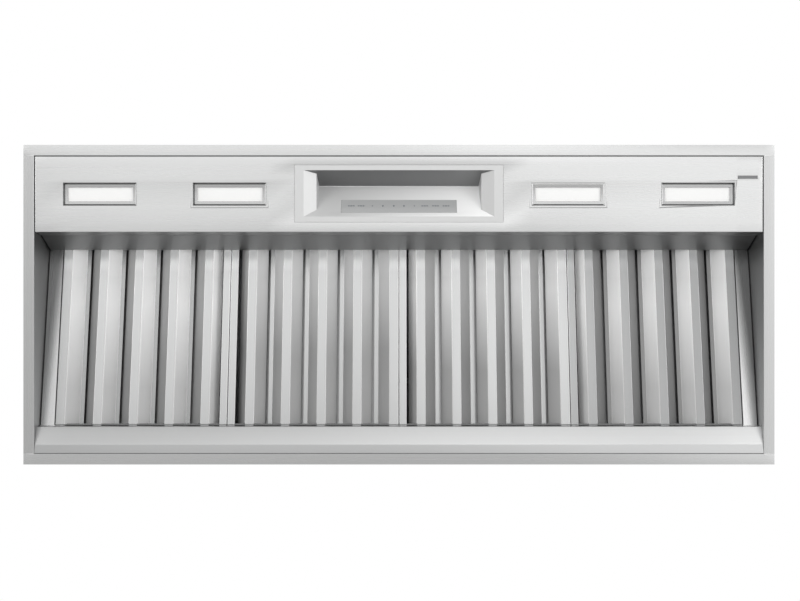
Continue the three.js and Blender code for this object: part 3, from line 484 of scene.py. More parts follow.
# %% From a bmesh to a finished piece
def finished(bm, name, material, slot, replaces="", body="root", thick=0.0, rim=0.0, sharp=35,
             pick=None, back=0, place=None):
    """Turns bm into an object: smooth bends, sheet thickness behind its faces, and its body.

    place moves all of it first. pick gives a face its number in the list of materials, and back
    is added to that number for the sheet's back. slot is not used."""
    if place is not None:
        bmesh.ops.transform(bm, matrix=place, verts=bm.verts[:])
    bm.normal_update()
    for face in bm.faces:
        face.smooth = True
        if pick:
            face.material_index = pick(face)
    for edge in bm.edges:
        if len(edge.link_faces) == 2 and edge.calc_face_angle(0) > math.radians(sharp):
            edge.smooth = False
    mesh = bpy.data.meshes.new(name)
    bm.to_mesh(mesh)
    bm.free()
    obj = bpy.data.objects.new(name, mesh)
    scene.collection.objects.link(obj)
    for each in material if isinstance(material, list) else [material]:
        mesh.materials.append(each)
    if thick:
        shell = obj.modifiers.new("sheet", "SOLIDIFY")
        shell.thickness = thick * MM
        shell.offset = -1.0
        shell.use_even_offset = True
        shell.material_offset = back
    if rim:
        edge = obj.modifiers.new("edges", "BEVEL")
        edge.width = rim * MM
        edge.segments = 2
        edge.limit_method = "ANGLE"
        edge.angle_limit = math.radians(50)
    flat = obj.modifiers.new("flats", "WEIGHTED_NORMAL")
    flat.keep_sharp = True
    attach(obj, body)
    if replaces:
        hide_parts(replaces)


def block(bm, x0, x1, y0, y1, z0, z1, soften=0.0, segments=2):
    """A box between two corners, in millimetres, added to bm, with softened edges if asked."""
    made = bmesh.ops.create_cube(bm, size=1.0)["verts"]
    bmesh.ops.scale(bm, verts=made, vec=Vector((x1 - x0, y1 - y0, z1 - z0)) * MM)
    bmesh.ops.translate(bm, verts=made, vec=Vector(((x0 + x1) / 2, (y0 + y1) / 2, (z0 + z1) / 2)) * MM)
    if soften:
        rounded(bm, {e for v in made for e in v.link_edges}, soften, segments)


def middle_of(node):
    """The middle of a CAD node's box, in millimetres."""
    return [(low / MM + high / MM) / 2 for low, high in zip(*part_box(node))]


# %% [markdown]
# ## The four walls
#
# Each wall is one bent sheet: a flange that shows all round, an upright, and a narrow return at
# the top that the lid sits on, whose free edge is longer than its fold. On the photograph the
# front and rear flanges run the full length and the side flanges butt against them, so the long
# flanges need tabs past the walls' ends.

# %% Sizes of the walls
INNER_X, INNER_Y, SHEET = 646.0, 264.0, 1.2  # half the hollow, and the sheet, in millimetres
FLANGE_X, FLANGE_Y = 665.0, 283.0  # half the length and half the depth over the flanges
RETURN = 14.0
WALL_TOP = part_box("front_wall")[1][2] / MM
UP = WALL_TOP - SHEET
WALL_END = INNER_X + SHEET
TAB_Y = INNER_Y + 0.1  # the tabs' inner edge, just clear of the side flanges
print("wall top:", round(WALL_TOP, 2))


def wall_face(face):
    """The flange is bright, and the upright and its return get the hollow's darker steel, a painted shade."""
    return 0 if face.normal.z < -0.5 else 2


def flare_return(bm, edge, across, along, amount):
    """Moves the ends of a return's free edge, at a distance edge from the middle, outwards."""
    for v in bm.verts:
        if abs(abs(v.co[across]) - edge * MM) < 1e-5:
            v.co[along] += math.copysign(amount * MM, v.co[along])


# %% Front and rear walls
for name, s in (("front_wall", -1), ("rear_wall", 1)):
    bm = bmesh.new()
    folds = [(-FLANGE_Y, 0), (-INNER_Y, 0), (-INNER_Y, UP), (RETURN - INNER_Y, UP)]
    fold(bm, mirrored(folds, s), "x", -WALL_END, WALL_END, bend=0.6)
    flange_ends = [
        e for e in bm.edges if e.is_boundary and 0.01 < e.calc_length() < 0.1
        and all(abs(abs(v.co.x) - WALL_END * MM) < 1e-6 and v.co.z < 1e-6 for v in e.verts)
    ]
    for side in (-1, 1):
        ends = [e for e in flange_ends if e.verts[0].co.x * side > 0]
        made = bmesh.ops.extrude_edge_only(bm, edges=ends)
        move_new(bm, made, (side * (FLANGE_X - WALL_END) * MM, 0, 0))
        inner = min(new_of(made, bmesh.types.BMVert), key=lambda v: abs(v.co.y))
        inner.co.y = s * TAB_Y * MM
    flare_return(bm, INNER_Y - RETURN, 1, 0, 1.6)
    finished(bm, f"{name}_sheet", [flange_steel, outer_steel, cavity_shade, outer_steel], "body_steel",
             name, thick=SHEET, pick=wall_face, back=1)

# %% Left and right walls
for name, s in (("left_wall", -1), ("right_wall", 1)):
    bm = bmesh.new()
    folds = [(-FLANGE_X, 0), (-INNER_X, 0), (-INNER_X, UP), (RETURN - INNER_X, UP)]
    fold(bm, mirrored(folds, s), "y", -INNER_Y, INNER_Y, bend=0.6)
    flare_return(bm, INNER_X - RETURN, 0, 1, RETURN)
    finished(bm, f"{name}_sheet", [flange_steel_y, outer_steel, cavity_side_shade, outer_steel], "body_steel",
             name, thick=SHEET, pick=wall_face, back=1)
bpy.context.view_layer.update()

# %% [markdown]
# ## The front panel
#
# The plate that holds the lights and the control is folded up along its front and ends and
# turned up 41 mm at the rear. Its windows are cut with planes: each plane splits the plate
# where an edge of a window runs, and the faces inside the windows are deleted.


# %% Helpers for windows
def cut(bm, faces, spot, across):
    """Splits faces along the plane through spot, in millimetres, that across stands square to."""
    geom = faces + list({e for f in faces for e in f.edges}) + list({v for f in faces for v in f.verts})
    bmesh.ops.bisect_plane(bm, geom=geom, plane_co=Vector(spot) * MM, plane_no=across, dist=1e-7)


def open_up(bm, faces, x0, x1, y0, y1):
    """Deletes those faces whose middle lies in a window of X and Y."""
    middles = [(face, face.calc_center_median() / MM) for face in faces]
    gone = [face for face, c in middles if x0 < c.x < x1 and y0 < c.y < y1]
    bmesh.ops.delete(bm, geom=gone, context="FACES")


def level(bm):
    """The faces that lie flat."""
    return [f for f in bm.faces if abs(f.normal.z) > 0.99]


# %% Front panel
PANEL_X, PANEL_FRONT, PANEL_REAR = 644.7, -262.7, -128.8
PANEL_LIP, PANEL_TURN_UP = 8.0, 41.0
LIGHT_X = [middle_of(f"light_{i}_bezel")[0] for i in (1, 2, 3, 4)]
LIGHT_Y = middle_of("light_1_bezel")[1]
LIGHT_HALF_X, LIGHT_HALF_Y = 64.9, 20.2
CONTROL_X, CONTROL_FRONT, CONTROL_REAR = 185.0, -247.3, -146.1
BADGE_X, BADGE_Y = middle_of("badge_plate")[:2]
BADGE_HALF_X, BADGE_HALF_Y = 17.5, 2.5
GAP = 0.3  # between a window's edge and what fills it
print("lights at", [round(x, 1) for x in LIGHT_X], "y", round(LIGHT_Y, 1), "badge", round(BADGE_X, 1))

bm = bmesh.new()
fold(bm, [(PANEL_FRONT, PANEL_LIP), (PANEL_FRONT, 0), (PANEL_REAR, 0), (PANEL_REAR + 3.6, PANEL_TURN_UP)],
     "x", -PANEL_X, PANEL_X, bend=0.9, segments=4)
ends = [
    e for e in bm.edges if e.is_boundary and e.calc_length() > 0.05
    and all(abs(v.co.z) < 1e-6 for v in e.verts)
]
move_new(bm, bmesh.ops.extrude_edge_only(bm, edges=ends), (0, 0, PANEL_LIP * MM))
rounded(bm, ends, 1.5, segments=4)
badge_sides = (BADGE_X - BADGE_HALF_X, BADGE_X + BADGE_HALF_X, BADGE_Y - BADGE_HALF_Y, BADGE_Y + BADGE_HALF_Y)
windows = [(x - LIGHT_HALF_X, x + LIGHT_HALF_X, LIGHT_Y - LIGHT_HALF_Y, LIGHT_Y + LIGHT_HALF_Y)
           for x in LIGHT_X]
windows += [(-CONTROL_X, CONTROL_X, CONTROL_FRONT, CONTROL_REAR), badge_sides]
for x0, x1, y0, y1 in windows:
    x0, x1, y0, y1 = x0 - GAP, x1 + GAP, y0 - GAP, y1 + GAP
    for x in (x0, x1):
        cut(bm, level(bm), (x, 0, 0), (1, 0, 0))
    for y in (y0, y1):
        cut(bm, level(bm), (0, y, 0), (0, 1, 0))
    open_up(bm, level(bm), x0, x1, y0, y1)
# the panel's rear turn-up gets the hollow's darker steel: painted shade
finished(bm, "front_panel_sheet", [panel_steel, outer_steel, cavity_shade], "body_steel", "front_panel",
         thick=SHEET, pick=lambda f: 2 if f.normal.y > 0.6 else 0)
print("front panel with", len(windows), "windows")

# %% [markdown]
# ## Frames that step inwards
#
# A light's bezel and the control's frame are both moulded rings of rectangles, one inside the
# other at different heights. One face is enough to start from: it is inset, and the new inner
# face is then scaled and moved to the next ring's size, again and again.


# %% A helper for rings
SKIRT = 1.45  # the height of the edge that stands round a frame's foot


def fit(bm, face, x0, x1, y0, y1, z):
    """Scales and moves a face's corners so that it fills a rectangle at height z."""
    xs, ys = [v.co.x for v in face.verts], [v.co.y for v in face.verts]
    grow = ((x1 - x0) * MM / (max(xs) - min(xs)), (y1 - y0) * MM / (max(ys) - min(ys)), 1)
    now = face.calc_center_median()
    bmesh.ops.scale(bm, verts=face.verts[:], vec=grow, space=Matrix.Translation(-now))
    new = Vector(((x0 + x1) / 2, (y0 + y1) / 2, z)) * MM
    bmesh.ops.translate(bm, verts=face.verts[:], vec=new - now)


def ring_frame(rings, bend, angle, shortest=0.0, hole=False):
    """A frame of rings, from the outside in, each a rectangle in X and Y at a height.

    Its foot gets a skirt that goes up, and creases over an angle and a length are rounded."""
    bm = bmesh.new()
    grid = bmesh.ops.create_grid(bm, x_segments=1, y_segments=1, size=0.5)
    face = grid["verts"][0].link_faces[0]
    fit(bm, face, *rings[0])
    if face.normal.z > 0:
        bmesh.ops.reverse_faces(bm, faces=[face])
    for ring in rings[1:]:
        bmesh.ops.inset_individual(bm, faces=[face], thickness=0.5 * MM)
        fit(bm, face, *ring)
    if hole:
        bmesh.ops.delete(bm, geom=[face], context="FACES_ONLY")
    foot = [e for e in bm.edges if e.is_boundary and all(v.co.z < 1e-5 for v in e.verts)]
    move_new(bm, bmesh.ops.extrude_edge_only(bm, edges=foot), (0, 0, SKIRT * MM))
    bm.normal_update()
    creases = [e for e in bm.edges if len(e.link_faces) == 2 and angle < e.calc_face_angle(0) < 3.0
               and e.calc_length() > shortest]
    rounded(bm, creases, bend, clamp=True)
    bmesh.ops.recalc_face_normals(bm, faces=bm.faces[:])
    bm.normal_update()
    border = max(bm.faces, key=lambda f: f.calc_area() if abs(f.calc_center_median().z) < 1e-5 else 0)
    if border.normal.z > 0:
        bmesh.ops.reverse_faces(bm, faces=bm.faces[:])
    bm.normal_update()
    return bm


# %% Light bezels and lenses
LIGHT_RINGS = [(LIGHT_HALF_X, LIGHT_HALF_Y, 0.0), (64.6, 19.9, 0.0), (62.2, 17.5, 4.4), (57.95, 12.6, 5.0),
               (57.9, 12.5, 7.2)]  # half length, half width and height
LENS_HALF_X, LENS_HALF_Y = 59.1, 13.6
# the sides of each light's outer ring with a painted highlight; the others get painted shade
LIT_SIDES = {1: ["right"], 2: ["right"], 3: ["left", "front", "right"], 4: ["left"]}
PLAIN, DARK, LIT = 0, 1, 2


def rim_face(lit):
    """Picks a rim's steel: its steep outer ring gets painted shade, or a painted highlight on the sides in
    lit.
    """
    def pick(face):
        n = face.normal
        side = "left" if n.x > 0.5 else "right" if n.x < -0.5 else "front" if n.y > 0.5 else "rear"
        if 0.25 < -n.z < 0.72 and face.calc_center_median().z < 4.5 * MM:
            return LIT if side in lit else DARK
        return PLAIN
    return pick


for i, x in enumerate(LIGHT_X, 1):
    rings = [(x - half, x + half, LIGHT_Y - wide, LIGHT_Y + wide, z) for half, wide, z in LIGHT_RINGS]
    bm = ring_frame(rings, bend=0.15, angle=0.2, hole=True)
    finished(bm, f"light_{i}_rim", [light_rim, rim_shade, rim_lit], "bezel_steel", f"light_{i}_bezel",
             thick=0.8, sharp=15, pick=rim_face(LIT_SIDES[i]))
    bm = bmesh.new()
    block(bm, x - LENS_HALF_X, x + LENS_HALF_X, LIGHT_Y - LENS_HALF_Y, LIGHT_Y + LENS_HALF_Y, 7.5, 10.5)
    finished(bm, f"light_{i}_window", lens_milk, "lens_white", f"light_{i}_lens", rim=0.4)
print("lights made:", len(LIGHT_X))

# %% [markdown]
# ## The control's frame
#
# The touch strip sits on a slope at the back of a sunk pocket, so that a cook sees it from the
# front. The frame is a satin moulding: a flat border, a shallow cheek at each end, a steep front
# wall and the long slope. It is made from rings like the lights, and the slope then gets a
# window for the glass.

# %% Control frame
SLOPE = math.atan2(45.0, 57.8)  # the pocket's long face
SLOPE_FOOT = -155.9
GLASS_FROM, GLASS_TO = 9.4, 40.0  # along the slope, from its lower edge
GLASS_HALF, GLASS_WIDE = 102.75, GLASS_TO - GLASS_FROM


def on_slope(along):
    """A point at a distance up the slope, in the middle of the hood's length."""
    return Vector((0, SLOPE_FOOT - along * math.cos(SLOPE), along * math.sin(SLOPE)))


def long_face(bm):
    """The faces of the slope."""
    return [f for f in bm.faces if abs(-f.normal.y - math.sin(SLOPE)) < 0.05]


def frame_face(face):
    """The front wall gets painted shade, and the slope and the cheeks get painted light in their own tones.
    """
    if face.calc_center_median().z < 0.4 * MM:
        return 0
    return 1 if face.normal.y > 0.75 else 2 if face.normal.y < -0.4 else 3


bm = ring_frame([(-CONTROL_X, CONTROL_X, CONTROL_FRONT, CONTROL_REAR, 0.0),
                 (-169.0, 169.0, -238.3, SLOPE_FOOT, 0.0), (-146.5, 146.5, -232.83, -168.74, 10.0),
                 (-143.83, 143.83, -213.95, -213.12, 44.55)], bend=0.3, angle=0.1, shortest=2 * MM)
for along in (GLASS_FROM - GAP, GLASS_TO + GAP):
    cut(bm, long_face(bm), on_slope(along), (0, -math.cos(SLOPE), math.sin(SLOPE)))
for x in (-GLASS_HALF - GAP, GLASS_HALF + GAP):
    cut(bm, long_face(bm), (x, 0, 0), (1, 0, 0))
open_up(bm, long_face(bm), -GLASS_HALF, GLASS_HALF, on_slope(GLASS_TO).y, on_slope(GLASS_FROM).y)
finished(bm, "control_frame", [bezel_satin, pocket_shade, slope_satin, cheek_satin], "bezel_steel",
         "control_bezel", thick=1.4, sharp=12, pick=frame_face)

# %% Touch glass, its signs and the plain plate
to_slope = (Matrix.Translation(on_slope((GLASS_FROM + GLASS_TO) / 2) * MM)
            @ Matrix.Rotation(-SLOPE, 4, "X"))
bm = bmesh.new()
block(bm, -GLASS_HALF, GLASS_HALF, -GLASS_WIDE / 2, GLASS_WIDE / 2, 0, 1.5, soften=0.3)
finished(bm, "touch_glass", glass_grey, "control_glass", "control_glass", place=to_slope)

# ten plain signs in a row: bars for the wide ones, dots and triangles for the narrow ones
SIGNS = [(-84.9, "bars"), (-67.5, "bars"), (-47.3, "down"), (-28.6, "dot"), (-9.2, "dot"), (8.9, "dot"),
         (27.4, "up"), (45.9, "bars"), (65.2, "bars"), (83.9, "bars")]
SIGN_SIZE = 1.7
bm = bmesh.new()
for x, kind in SIGNS:
    if kind == "bars":
        for shift, half in ((-4.4, 1.5), (0.0, 1.9), (4.4, 1.5)):
            block(bm, x + shift - half, x + shift + half, -1.8, 0.2, -0.12, 0.05)
    else:
        turn = Matrix.Rotation({"up": 0.5, "down": -0.5}.get(kind, 0) * math.pi, 4, "Z")
        spot = Matrix.Translation(Vector((x, -0.8, -0.035)) * MM)
        bmesh.ops.create_cone(bm, cap_ends=True, segments=12 if kind == "dot" else 3,
                              radius1=SIGN_SIZE * MM, radius2=SIGN_SIZE * MM, depth=0.17 * MM,
                              matrix=spot @ turn)
finished(bm, "touch_signs", mark_ink, "grey_plastic", place=to_slope)
print("control made, with", len(SIGNS), "signs")

bm = bmesh.new()
block(bm, *badge_sides, 0, 2.4, soften=0.4)
finished(bm, "plain_plate", badge_grey, "grey_plastic", "badge_plate")

# %% [markdown]
# ## The hollow behind the panel
#
# Behind the panel an inclined wall climbs to the ledge that carries the filters' front edges. It
# is one folded sheet, dark because it only ever mirrors the inside of the hollow, and its steel is
# painted darker still as shade. A hemmed strip closes the gap between the outer filters and each
# side wall. Near-black strips in the corners and along the fillers' edges are painted shadow in the gaps.

# %% The filters' plane
LEDGE_Y, LEDGE_Z, LIP_Y, LIP_Z = -100.5, 102.0, 217.5, 36.6
SLANT = math.atan2(LEDGE_Z - LIP_Z - GAP, LIP_Y - LEDGE_Y)
RUN = (LIP_Y - LEDGE_Y) / math.cos(SLANT)
to_filters = Matrix.Translation(Vector((0, LEDGE_Y, LEDGE_Z)) * MM) @ Matrix.Rotation(-SLANT, 4, "X")


def in_plane(u, w):
    """A place in the filters' plane as Y and Z: u runs down the slope, w up from it."""
    spot = to_filters @ Vector((0, u * MM, w * MM)) / MM
    return spot.y, spot.z


print("slope of the filters:", round(math.degrees(SLANT), 2), "degrees")

# %% Inclined wall, seams, fillers and rail
FULL_X = 645.7
HEM_X = 619.2  # the inner edge of a filler
tip, back = in_plane(0, -GAP), in_plane(-42, -GAP)
bm = bmesh.new()
fold(bm, [(-124.78, 41.8), tip, back, (back[0], WALL_TOP - RETURN)], "x", -FULL_X, FULL_X)
finished(bm, "inclined_wall", cavity_shade, "cavity_steel", "cavity_front_wall", thick=SHEET)

for label, s in (("left", -1), ("right", 1)):
    # a near-black strip in the corner: painted shadow in the gap
    bm = bmesh.new()
    fold(bm, [(-124.2, 40.6), (-99.8, 101.2)], "x", s * 645.8, s * 643.2)
    finished(bm, f"corner_seam_{label}", seam_shadow, "cavity_steel", thick=0.3)
    bm = bmesh.new()
    folds = [(-FULL_X, 20), (-FULL_X, 0), (-HEM_X, 0), (-HEM_X, 6)]
    fold(bm, mirrored(folds, s), "y", -14, RUN + 14, bend=1.4)
    finished(bm, f"{label}_filler_strip", filler_left if s < 0 else filler_right, "cavity_steel",
             f"{label}_filler", thick=SHEET, place=to_filters)
    # near-black strips along the filler's edges: painted shadow in the gaps
    bm = bmesh.new()
    for x in (s * (HEM_X + 0.3), s * (FULL_X - 0.7)):
        fold(bm, [(x - 0.6, -0.25), (x + 0.6, -0.25)], "y", 0, RUN - 1)
    finished(bm, f"{label}_filler_seams", seam_shadow, "cavity_steel", thick=0.2, place=to_filters)

RAIL_CREASE = 248.0
bm = bmesh.new()
fold(bm, [(LIP_Y, 14), (RAIL_CREASE, 2.6), (263.7, 0), (263.7, 8)], "x", -FULL_X, FULL_X, bend=1.2)
# the facet past the crease gets the darker rail steel: painted shade
finished(bm, "sloped_rail", [rail_steel, rail_facet_shade], "body_steel", "rear_rail", thick=SHEET,
         pick=lambda f: 1 if f.calc_center_median().y > (RAIL_CREASE - 0.5) * MM else 0)
# the rest strip takes the rail's steel with its painted light
bm = bmesh.new()
fold(bm, [(LIP_Y, LIP_Z), (LIP_Y, 15.6), (LIP_Y + 8.43, 12.45)], "x", -FULL_X, FULL_X, bend=1.2)
finished(bm, "rest_strip", rail_steel, "body_steel", "filter_rest", thick=SHEET)
print("hollow made; the filters' plane runs", round(RUN, 1), "mm down the slope")

# %% [markdown]
# ## The baffle filters
#
# A baffle filter is two layers of folded channels that face each other with their gaps offset,
# so that air turns twice and the grease stays behind. Each channel is folded here from its end
# outline and pushed along the slope. The bends are round, as a press brake leaves them, and the
# light catches them as thin bright lines. The first filter is turned end for end, and the third
# has its lips on the other side, as in the photograph.

# %% Sizes and tones of the filters
FILTERS = (1, 2, 3, 4)
WIDE, PITCH, THIN = 308.6, 309.6, 1.0
FIRST_LEFT = 0.5 - HEM_X
TAIL = 0.4  # the height of the plain tails that rest on the strip behind
TURNED, LIPS_RIGHT = 1, 3
RISE, DEEP = 26.0, 45.0  # heights of a channel and of a whole filter
STRIP, FLAT, FLANK, LIP = 13.5, 16.2, 18.1, 7.6  # widths across a filter
FLAT_AT = [31.6 + 64.5 * i for i in range(4)]
END_AT = 291.4  # where the last flat begins, which is part of the frame
TOP_HALF, TOP_FLANK = 7.7, 17.5  # an upper channel: half its flat, and its flank
FRONT, BODY, REAR = -14.0, RUN - 2.2, RUN + 14.0
WEB = 1.3
# lighter and darker copies of one steel for the faces of a filter: painted light and shade
TONES = [flat_near, flat_shaded, fold_lit, fold_pale, fold_mid, fold_dim, fold_dark, end_shadow, fold_soft]
END_SHADOW = TONES.index(end_shadow)
FACETS = {1: (0, 5, 2, 1), 2: (0, 8, 4, 0), 3: (0, 3, 5, 0), 4: (1, 2, 6, 6)}  # flat, left, right, lip
to_plane = to_filters.inverted()


def tone_of(n):
    """Picks a filter's painted tone for a face: flats, folds that face left or right, and lips, each a
    lighter or darker copy of one steel, and painted shadow on the rear end's web.
    """
    flat, left, right, lip = FACETS[n]

    def pick(face):
        spot = to_plane @ face.calc_center_median() / MM
        if BODY - 1.5 < spot.y < BODY + 1 and spot.z > 1.5:
            return END_SHADOW
        if abs(face.normal.x) > 0.3:
            return left if face.normal.x < 0 else right
        return lip if spot.z > 15 else flat
    return pick


def across(n, x):
    """X of a place in filter n, given from its own left side, or from its right if it is turned."""
    left = FIRST_LEFT + (n - 1) * PITCH
    return left + WIDE - x if n == TURNED else left + x


def channel(bm, n, folds, y0, y1):
    """A folded channel; for a turned filter the outline is mirrored and read backwards."""
    line = [(across(n, x), z) for x, z in folds]
    fold(bm, line[::-1] if n == TURNED else line, "y", y0, y1, bend=1.2)


def bar_across(bm, n, inset, y0, y1, z0, z1):
    """A plain bar from side to side of filter n, with an inset at each end."""
    block(bm, *sorted((across(n, inset), across(n, WIDE - inset))), y0, y1, z0, z1)


def baffle(bm, n, label, node, material, **options):
    """Finishes a piece of filter n in the filters' plane."""
    finished(bm, f"filter_{n}_{label}", material, "baffle_steel", node and f"filter_{n}_{node}",
             f"filter_{n}", place=to_filters, **options)


print("filters start at", [round(min(across(n, 0), across(n, WIDE)), 1) for n in FILTERS])

# %% Casings and end strips
for n in FILTERS:
    bm = bmesh.new()
    channel(bm, n, [(0, DEEP), (0, 0), (STRIP, 0), (STRIP, 3)], FRONT, BODY)
    side = [(END_AT - FLANK - 2, RISE), (END_AT, 0), (WIDE, 0), (WIDE, DEEP)]
    if n != LIPS_RIGHT:
        side.insert(0, (side[0][0] - LIP, RISE))
    channel(bm, n, side, FRONT, BODY)
    for x0, x1 in ((0.3, STRIP), (END_AT, WIDE - 0.3)):
        channel(bm, n, [(x0, TAIL), (x1, TAIL)], BODY, REAR)
    for y in (FRONT, BODY - THIN):
        bar_across(bm, n, 1.2, y + 0.1, y + 0.2, WEB + 1, DEEP)
    baffle(bm, n, "casing", "frame", TONES, thick=THIN, pick=tone_of(n))
    # a dark bar across the rear end: painted shadow where the filter meets the strip behind
    bm = bmesh.new()
    bar_across(bm, n, 0.2, BODY - 0.2, RUN - 0.8, -0.1, 1.6)
    baffle(bm, n, "end_shadow_strip", "", end_shadow, rim=0.2)
print("casings made:", len(FILTERS))

# %% Lower and upper channels
for n in FILTERS:
    bm = bmesh.new()
    for x in FLAT_AT:
        folds = [(x - FLANK, RISE), (x, 0), (x + FLAT, 0), (x + FLAT + FLANK, RISE)]
        if x == FLAT_AT[0]:
            folds[0] = (x - 14.3, 20.5)
        elif n != LIPS_RIGHT:
            folds.insert(0, (x - FLANK - LIP, RISE))
        if n == LIPS_RIGHT:
            folds.append((x + FLAT + FLANK + LIP, RISE))
        channel(bm, n, folds, FRONT + WEB, BODY - WEB)
        for y0, y1 in ((FRONT, FRONT + WEB), (BODY - WEB, REAR)):
            channel(bm, n, [(x + 0.6, TAIL), (x + FLAT - 0.6, TAIL)], y0, y1)
    baffle(bm, n, "lower_channels", "lower_baffles", TONES, thick=THIN, pick=tone_of(n))

    bm = bmesh.new()
    for x in FLAT_AT:
        middle = x + FLAT + FLANK + 6
        top = [(middle - TOP_HALF, DEEP), (middle + TOP_HALF, DEEP)]
        left, right = top[0][0] - TOP_FLANK, top[1][0] + TOP_FLANK
        channel(bm, n, [(left, DEEP - RISE), *top, (right, DEEP - RISE)], FRONT + 3 * WEB, BODY - 3 * WEB)
    baffle(bm, n, "upper_channels", "upper_baffles", baffle_upper_shade, thick=THIN)
print("channels made:", 2 * len(FLAT_AT) * len(FILTERS))

# %% [markdown]
# ## Screws
#
# Screws and rivets hold the sheets together. One function makes a round head with a socket: a
# disc is extruded, its rim is bevelled, and the top is inset and pushed back in. Without the
# socket it is a rivet's head. The heads are then laid on the lid, the collar's flange, the
# junction box's cover and the corners.

# %% Screw heads
TURN_TO = {"z": Matrix(), "-z": Matrix.Rotation(math.pi, 4, "X"), "y": Matrix.Rotation(-math.pi / 2, 4, "X"),
           "x": Matrix.Rotation(math.pi / 2, 4, "Y"), "-x": Matrix.Rotation(-math.pi / 2, 4, "Y")}
LID = WALL_TOP + 1.8
DUCT_Y = middle_of("duct_collar")[1]


def screw(bm, spot, way="z", radius=3.6, height=1.7, socket=True):
    """A screw head (or a plain rivet head) that stands on spot and looks along way."""
    old = set(bm.verts)
    base = bmesh.ops.create_circle(bm, cap_ends=True, segments=18, radius=radius * MM)["verts"]
    made = bmesh.ops.extrude_face_region(bm, geom=[base[0].link_faces[0]])
    top = new_of(made, bmesh.types.BMFace)[0]
    bmesh.ops.translate(bm, verts=top.verts[:], vec=(0, 0, height * MM))
    rounded(bm, top.edges, radius * 0.4, segments=3)
    new = [v for v in bm.verts if v not in old]
    top = max({f for v in new for f in v.link_faces}, key=lambda f: f.calc_center_median().z)
    if socket:
        bmesh.ops.inset_individual(bm, faces=[top], thickness=radius * 0.22 * MM)
        bmesh.ops.inset_individual(bm, faces=[top], thickness=radius * 0.05 * MM, depth=-height * 0.6 * MM)
    new = [v for v in bm.verts if v not in old]
    bmesh.ops.transform(bm, matrix=Matrix.Translation(Vector(spot) * MM) @ TURN_TO[way], verts=new)


def around(radius, count, first, step):
    """Places on a circle, as pairs, from a first angle on by equal steps."""
    turns = [first + step * i for i in range(count)]
    return [(radius * math.cos(a), radius * math.sin(a)) for a in turns]


lid = [(x, y, LID) for x in (-600, -360, -120, 120, 360, 600) for y in (-257, 257)]
lid += [(x, y, LID) for x in (-639.5, 639.5) for y in (-200, -70, 70, 200)]
collar = [(x, DUCT_Y + y, LID + 1.5) for x, y in around(134.2, 8, math.pi / 8, math.pi / 4)]
cover = [(x, y, 268.7) for x in (-463.5, -376.5) for y in (-233.9, -176.9)]
for name, places, way, radius in (("lid_screws", lid, "z", 3.6), ("collar_screws", collar, "z", 3.6),
                                  ("cover_screws", cover, "-z", 2.8)):
    bm = bmesh.new()
    for spot in places:
        screw(bm, spot, way, radius)
    finished(bm, name, spring_blue, "spring_steel")

bm = bmesh.new()
rivets = [(s, y, z) for s in (-1, 1) for y in (-256, 256) for z in (40, 110, 180, 250, 305)]
for s, y, z in rivets:
    screw(bm, (s * WALL_END, y, z), "x" if s > 0 else "-x", radius=2.6, height=1.1, socket=False)
finished(bm, "corner_rivets", outer_steel, "body_steel")
print("screws and rivets:", len(lid + collar + cover + rivets))

# %% [markdown]
# ## The duct collar
#
# A collar is spun from one sheet: a flat flange, a straight wall, a bead that stiffens it and a
# curled top edge. Its outline is a row of vertices that is spun round the duct's axis, and a
# Solidify modifier gives it the sheet's thickness.


# %% A helper for turned pieces
def spun(bm, outline, centre, axis="Z", steps=64, angle=2 * math.pi, start=0.0):
    """Spins an outline of (radius, height) in mm round an axis through centre."""
    line = []
    for radius, height in outline:
        spot = (radius, 0, height) if axis == "Z" else (height, 0, radius)
        line.append(bmesh.ops.create_vert(bm, co=(Vector(spot) + Vector(centre)) * MM)["vert"][0])
    edges = [bm.edges.new(pair) for pair in zip(line, line[1:])]
    about = Vector(centre) * MM
    bmesh.ops.rotate(bm, verts=line, cent=about, matrix=Matrix.Rotation(start, 3, axis))
    bmesh.ops.spin(bm, geom=line + edges, cent=about, axis=(0, 0, 1) if axis == "Z" else (1, 0, 0),
                   angle=angle, steps=steps, use_merge=angle > 6.28, use_normal_flip=False)
    bmesh.ops.recalc_face_normals(bm, faces=bm.faces[:])


# %% Duct collar
FOOT = LID + 1.5
DUCT = (0, DUCT_Y, 0)
outline = [(141, FOOT), (130, FOOT), (127.8, FOOT + 0.4), (127, FOOT + 1.4)]  # flange and its bend
outline += [(127, 374), (127.7, 375.6), (128.8, 377), (129.2, 378.6)]  # half of the bead
outline += [(128.8, 380.2), (127.7, 381.6), (127, 383.2)]  # and the other half
outline += [(127, 388), (127.4, 389.2), (128.3, 389.9), (129.2, 389.4), (129.3, 388.4)]  # curled edge
bm = bmesh.new()
spun(bm, outline, DUCT, steps=96)
wall = max(bm.faces, key=lambda f: f.calc_area())
out = wall.calc_center_median() - Vector(DUCT) * MM
if wall.normal.dot((out.x, out.y, 0)) < 0:
    bmesh.ops.reverse_faces(bm, faces=bm.faces[:])
finished(bm, "spun_collar", zinc_sheet, "galvanised", "duct_collar", thick=1.2, sharp=50)

# the ring that the flaps close against, open where the rod goes through
STOP_FROM, STOP_TO, STOP_LOW, STOP_HIGH, ROD_GAP = 121.8, 125.8, 352.9, 354.1, 0.055
bm = bmesh.new()
for start in (ROD_GAP, math.pi + ROD_GAP):
    spun(bm, [(STOP_TO, STOP_LOW), (STOP_FROM, STOP_LOW), (STOP_FROM, STOP_HIGH), (STOP_TO, STOP_HIGH)],
         DUCT, steps=40, angle=math.pi - 2 * ROD_GAP, start=start)
finished(bm, "flap_stop", zinc_sheet, "galvanised")

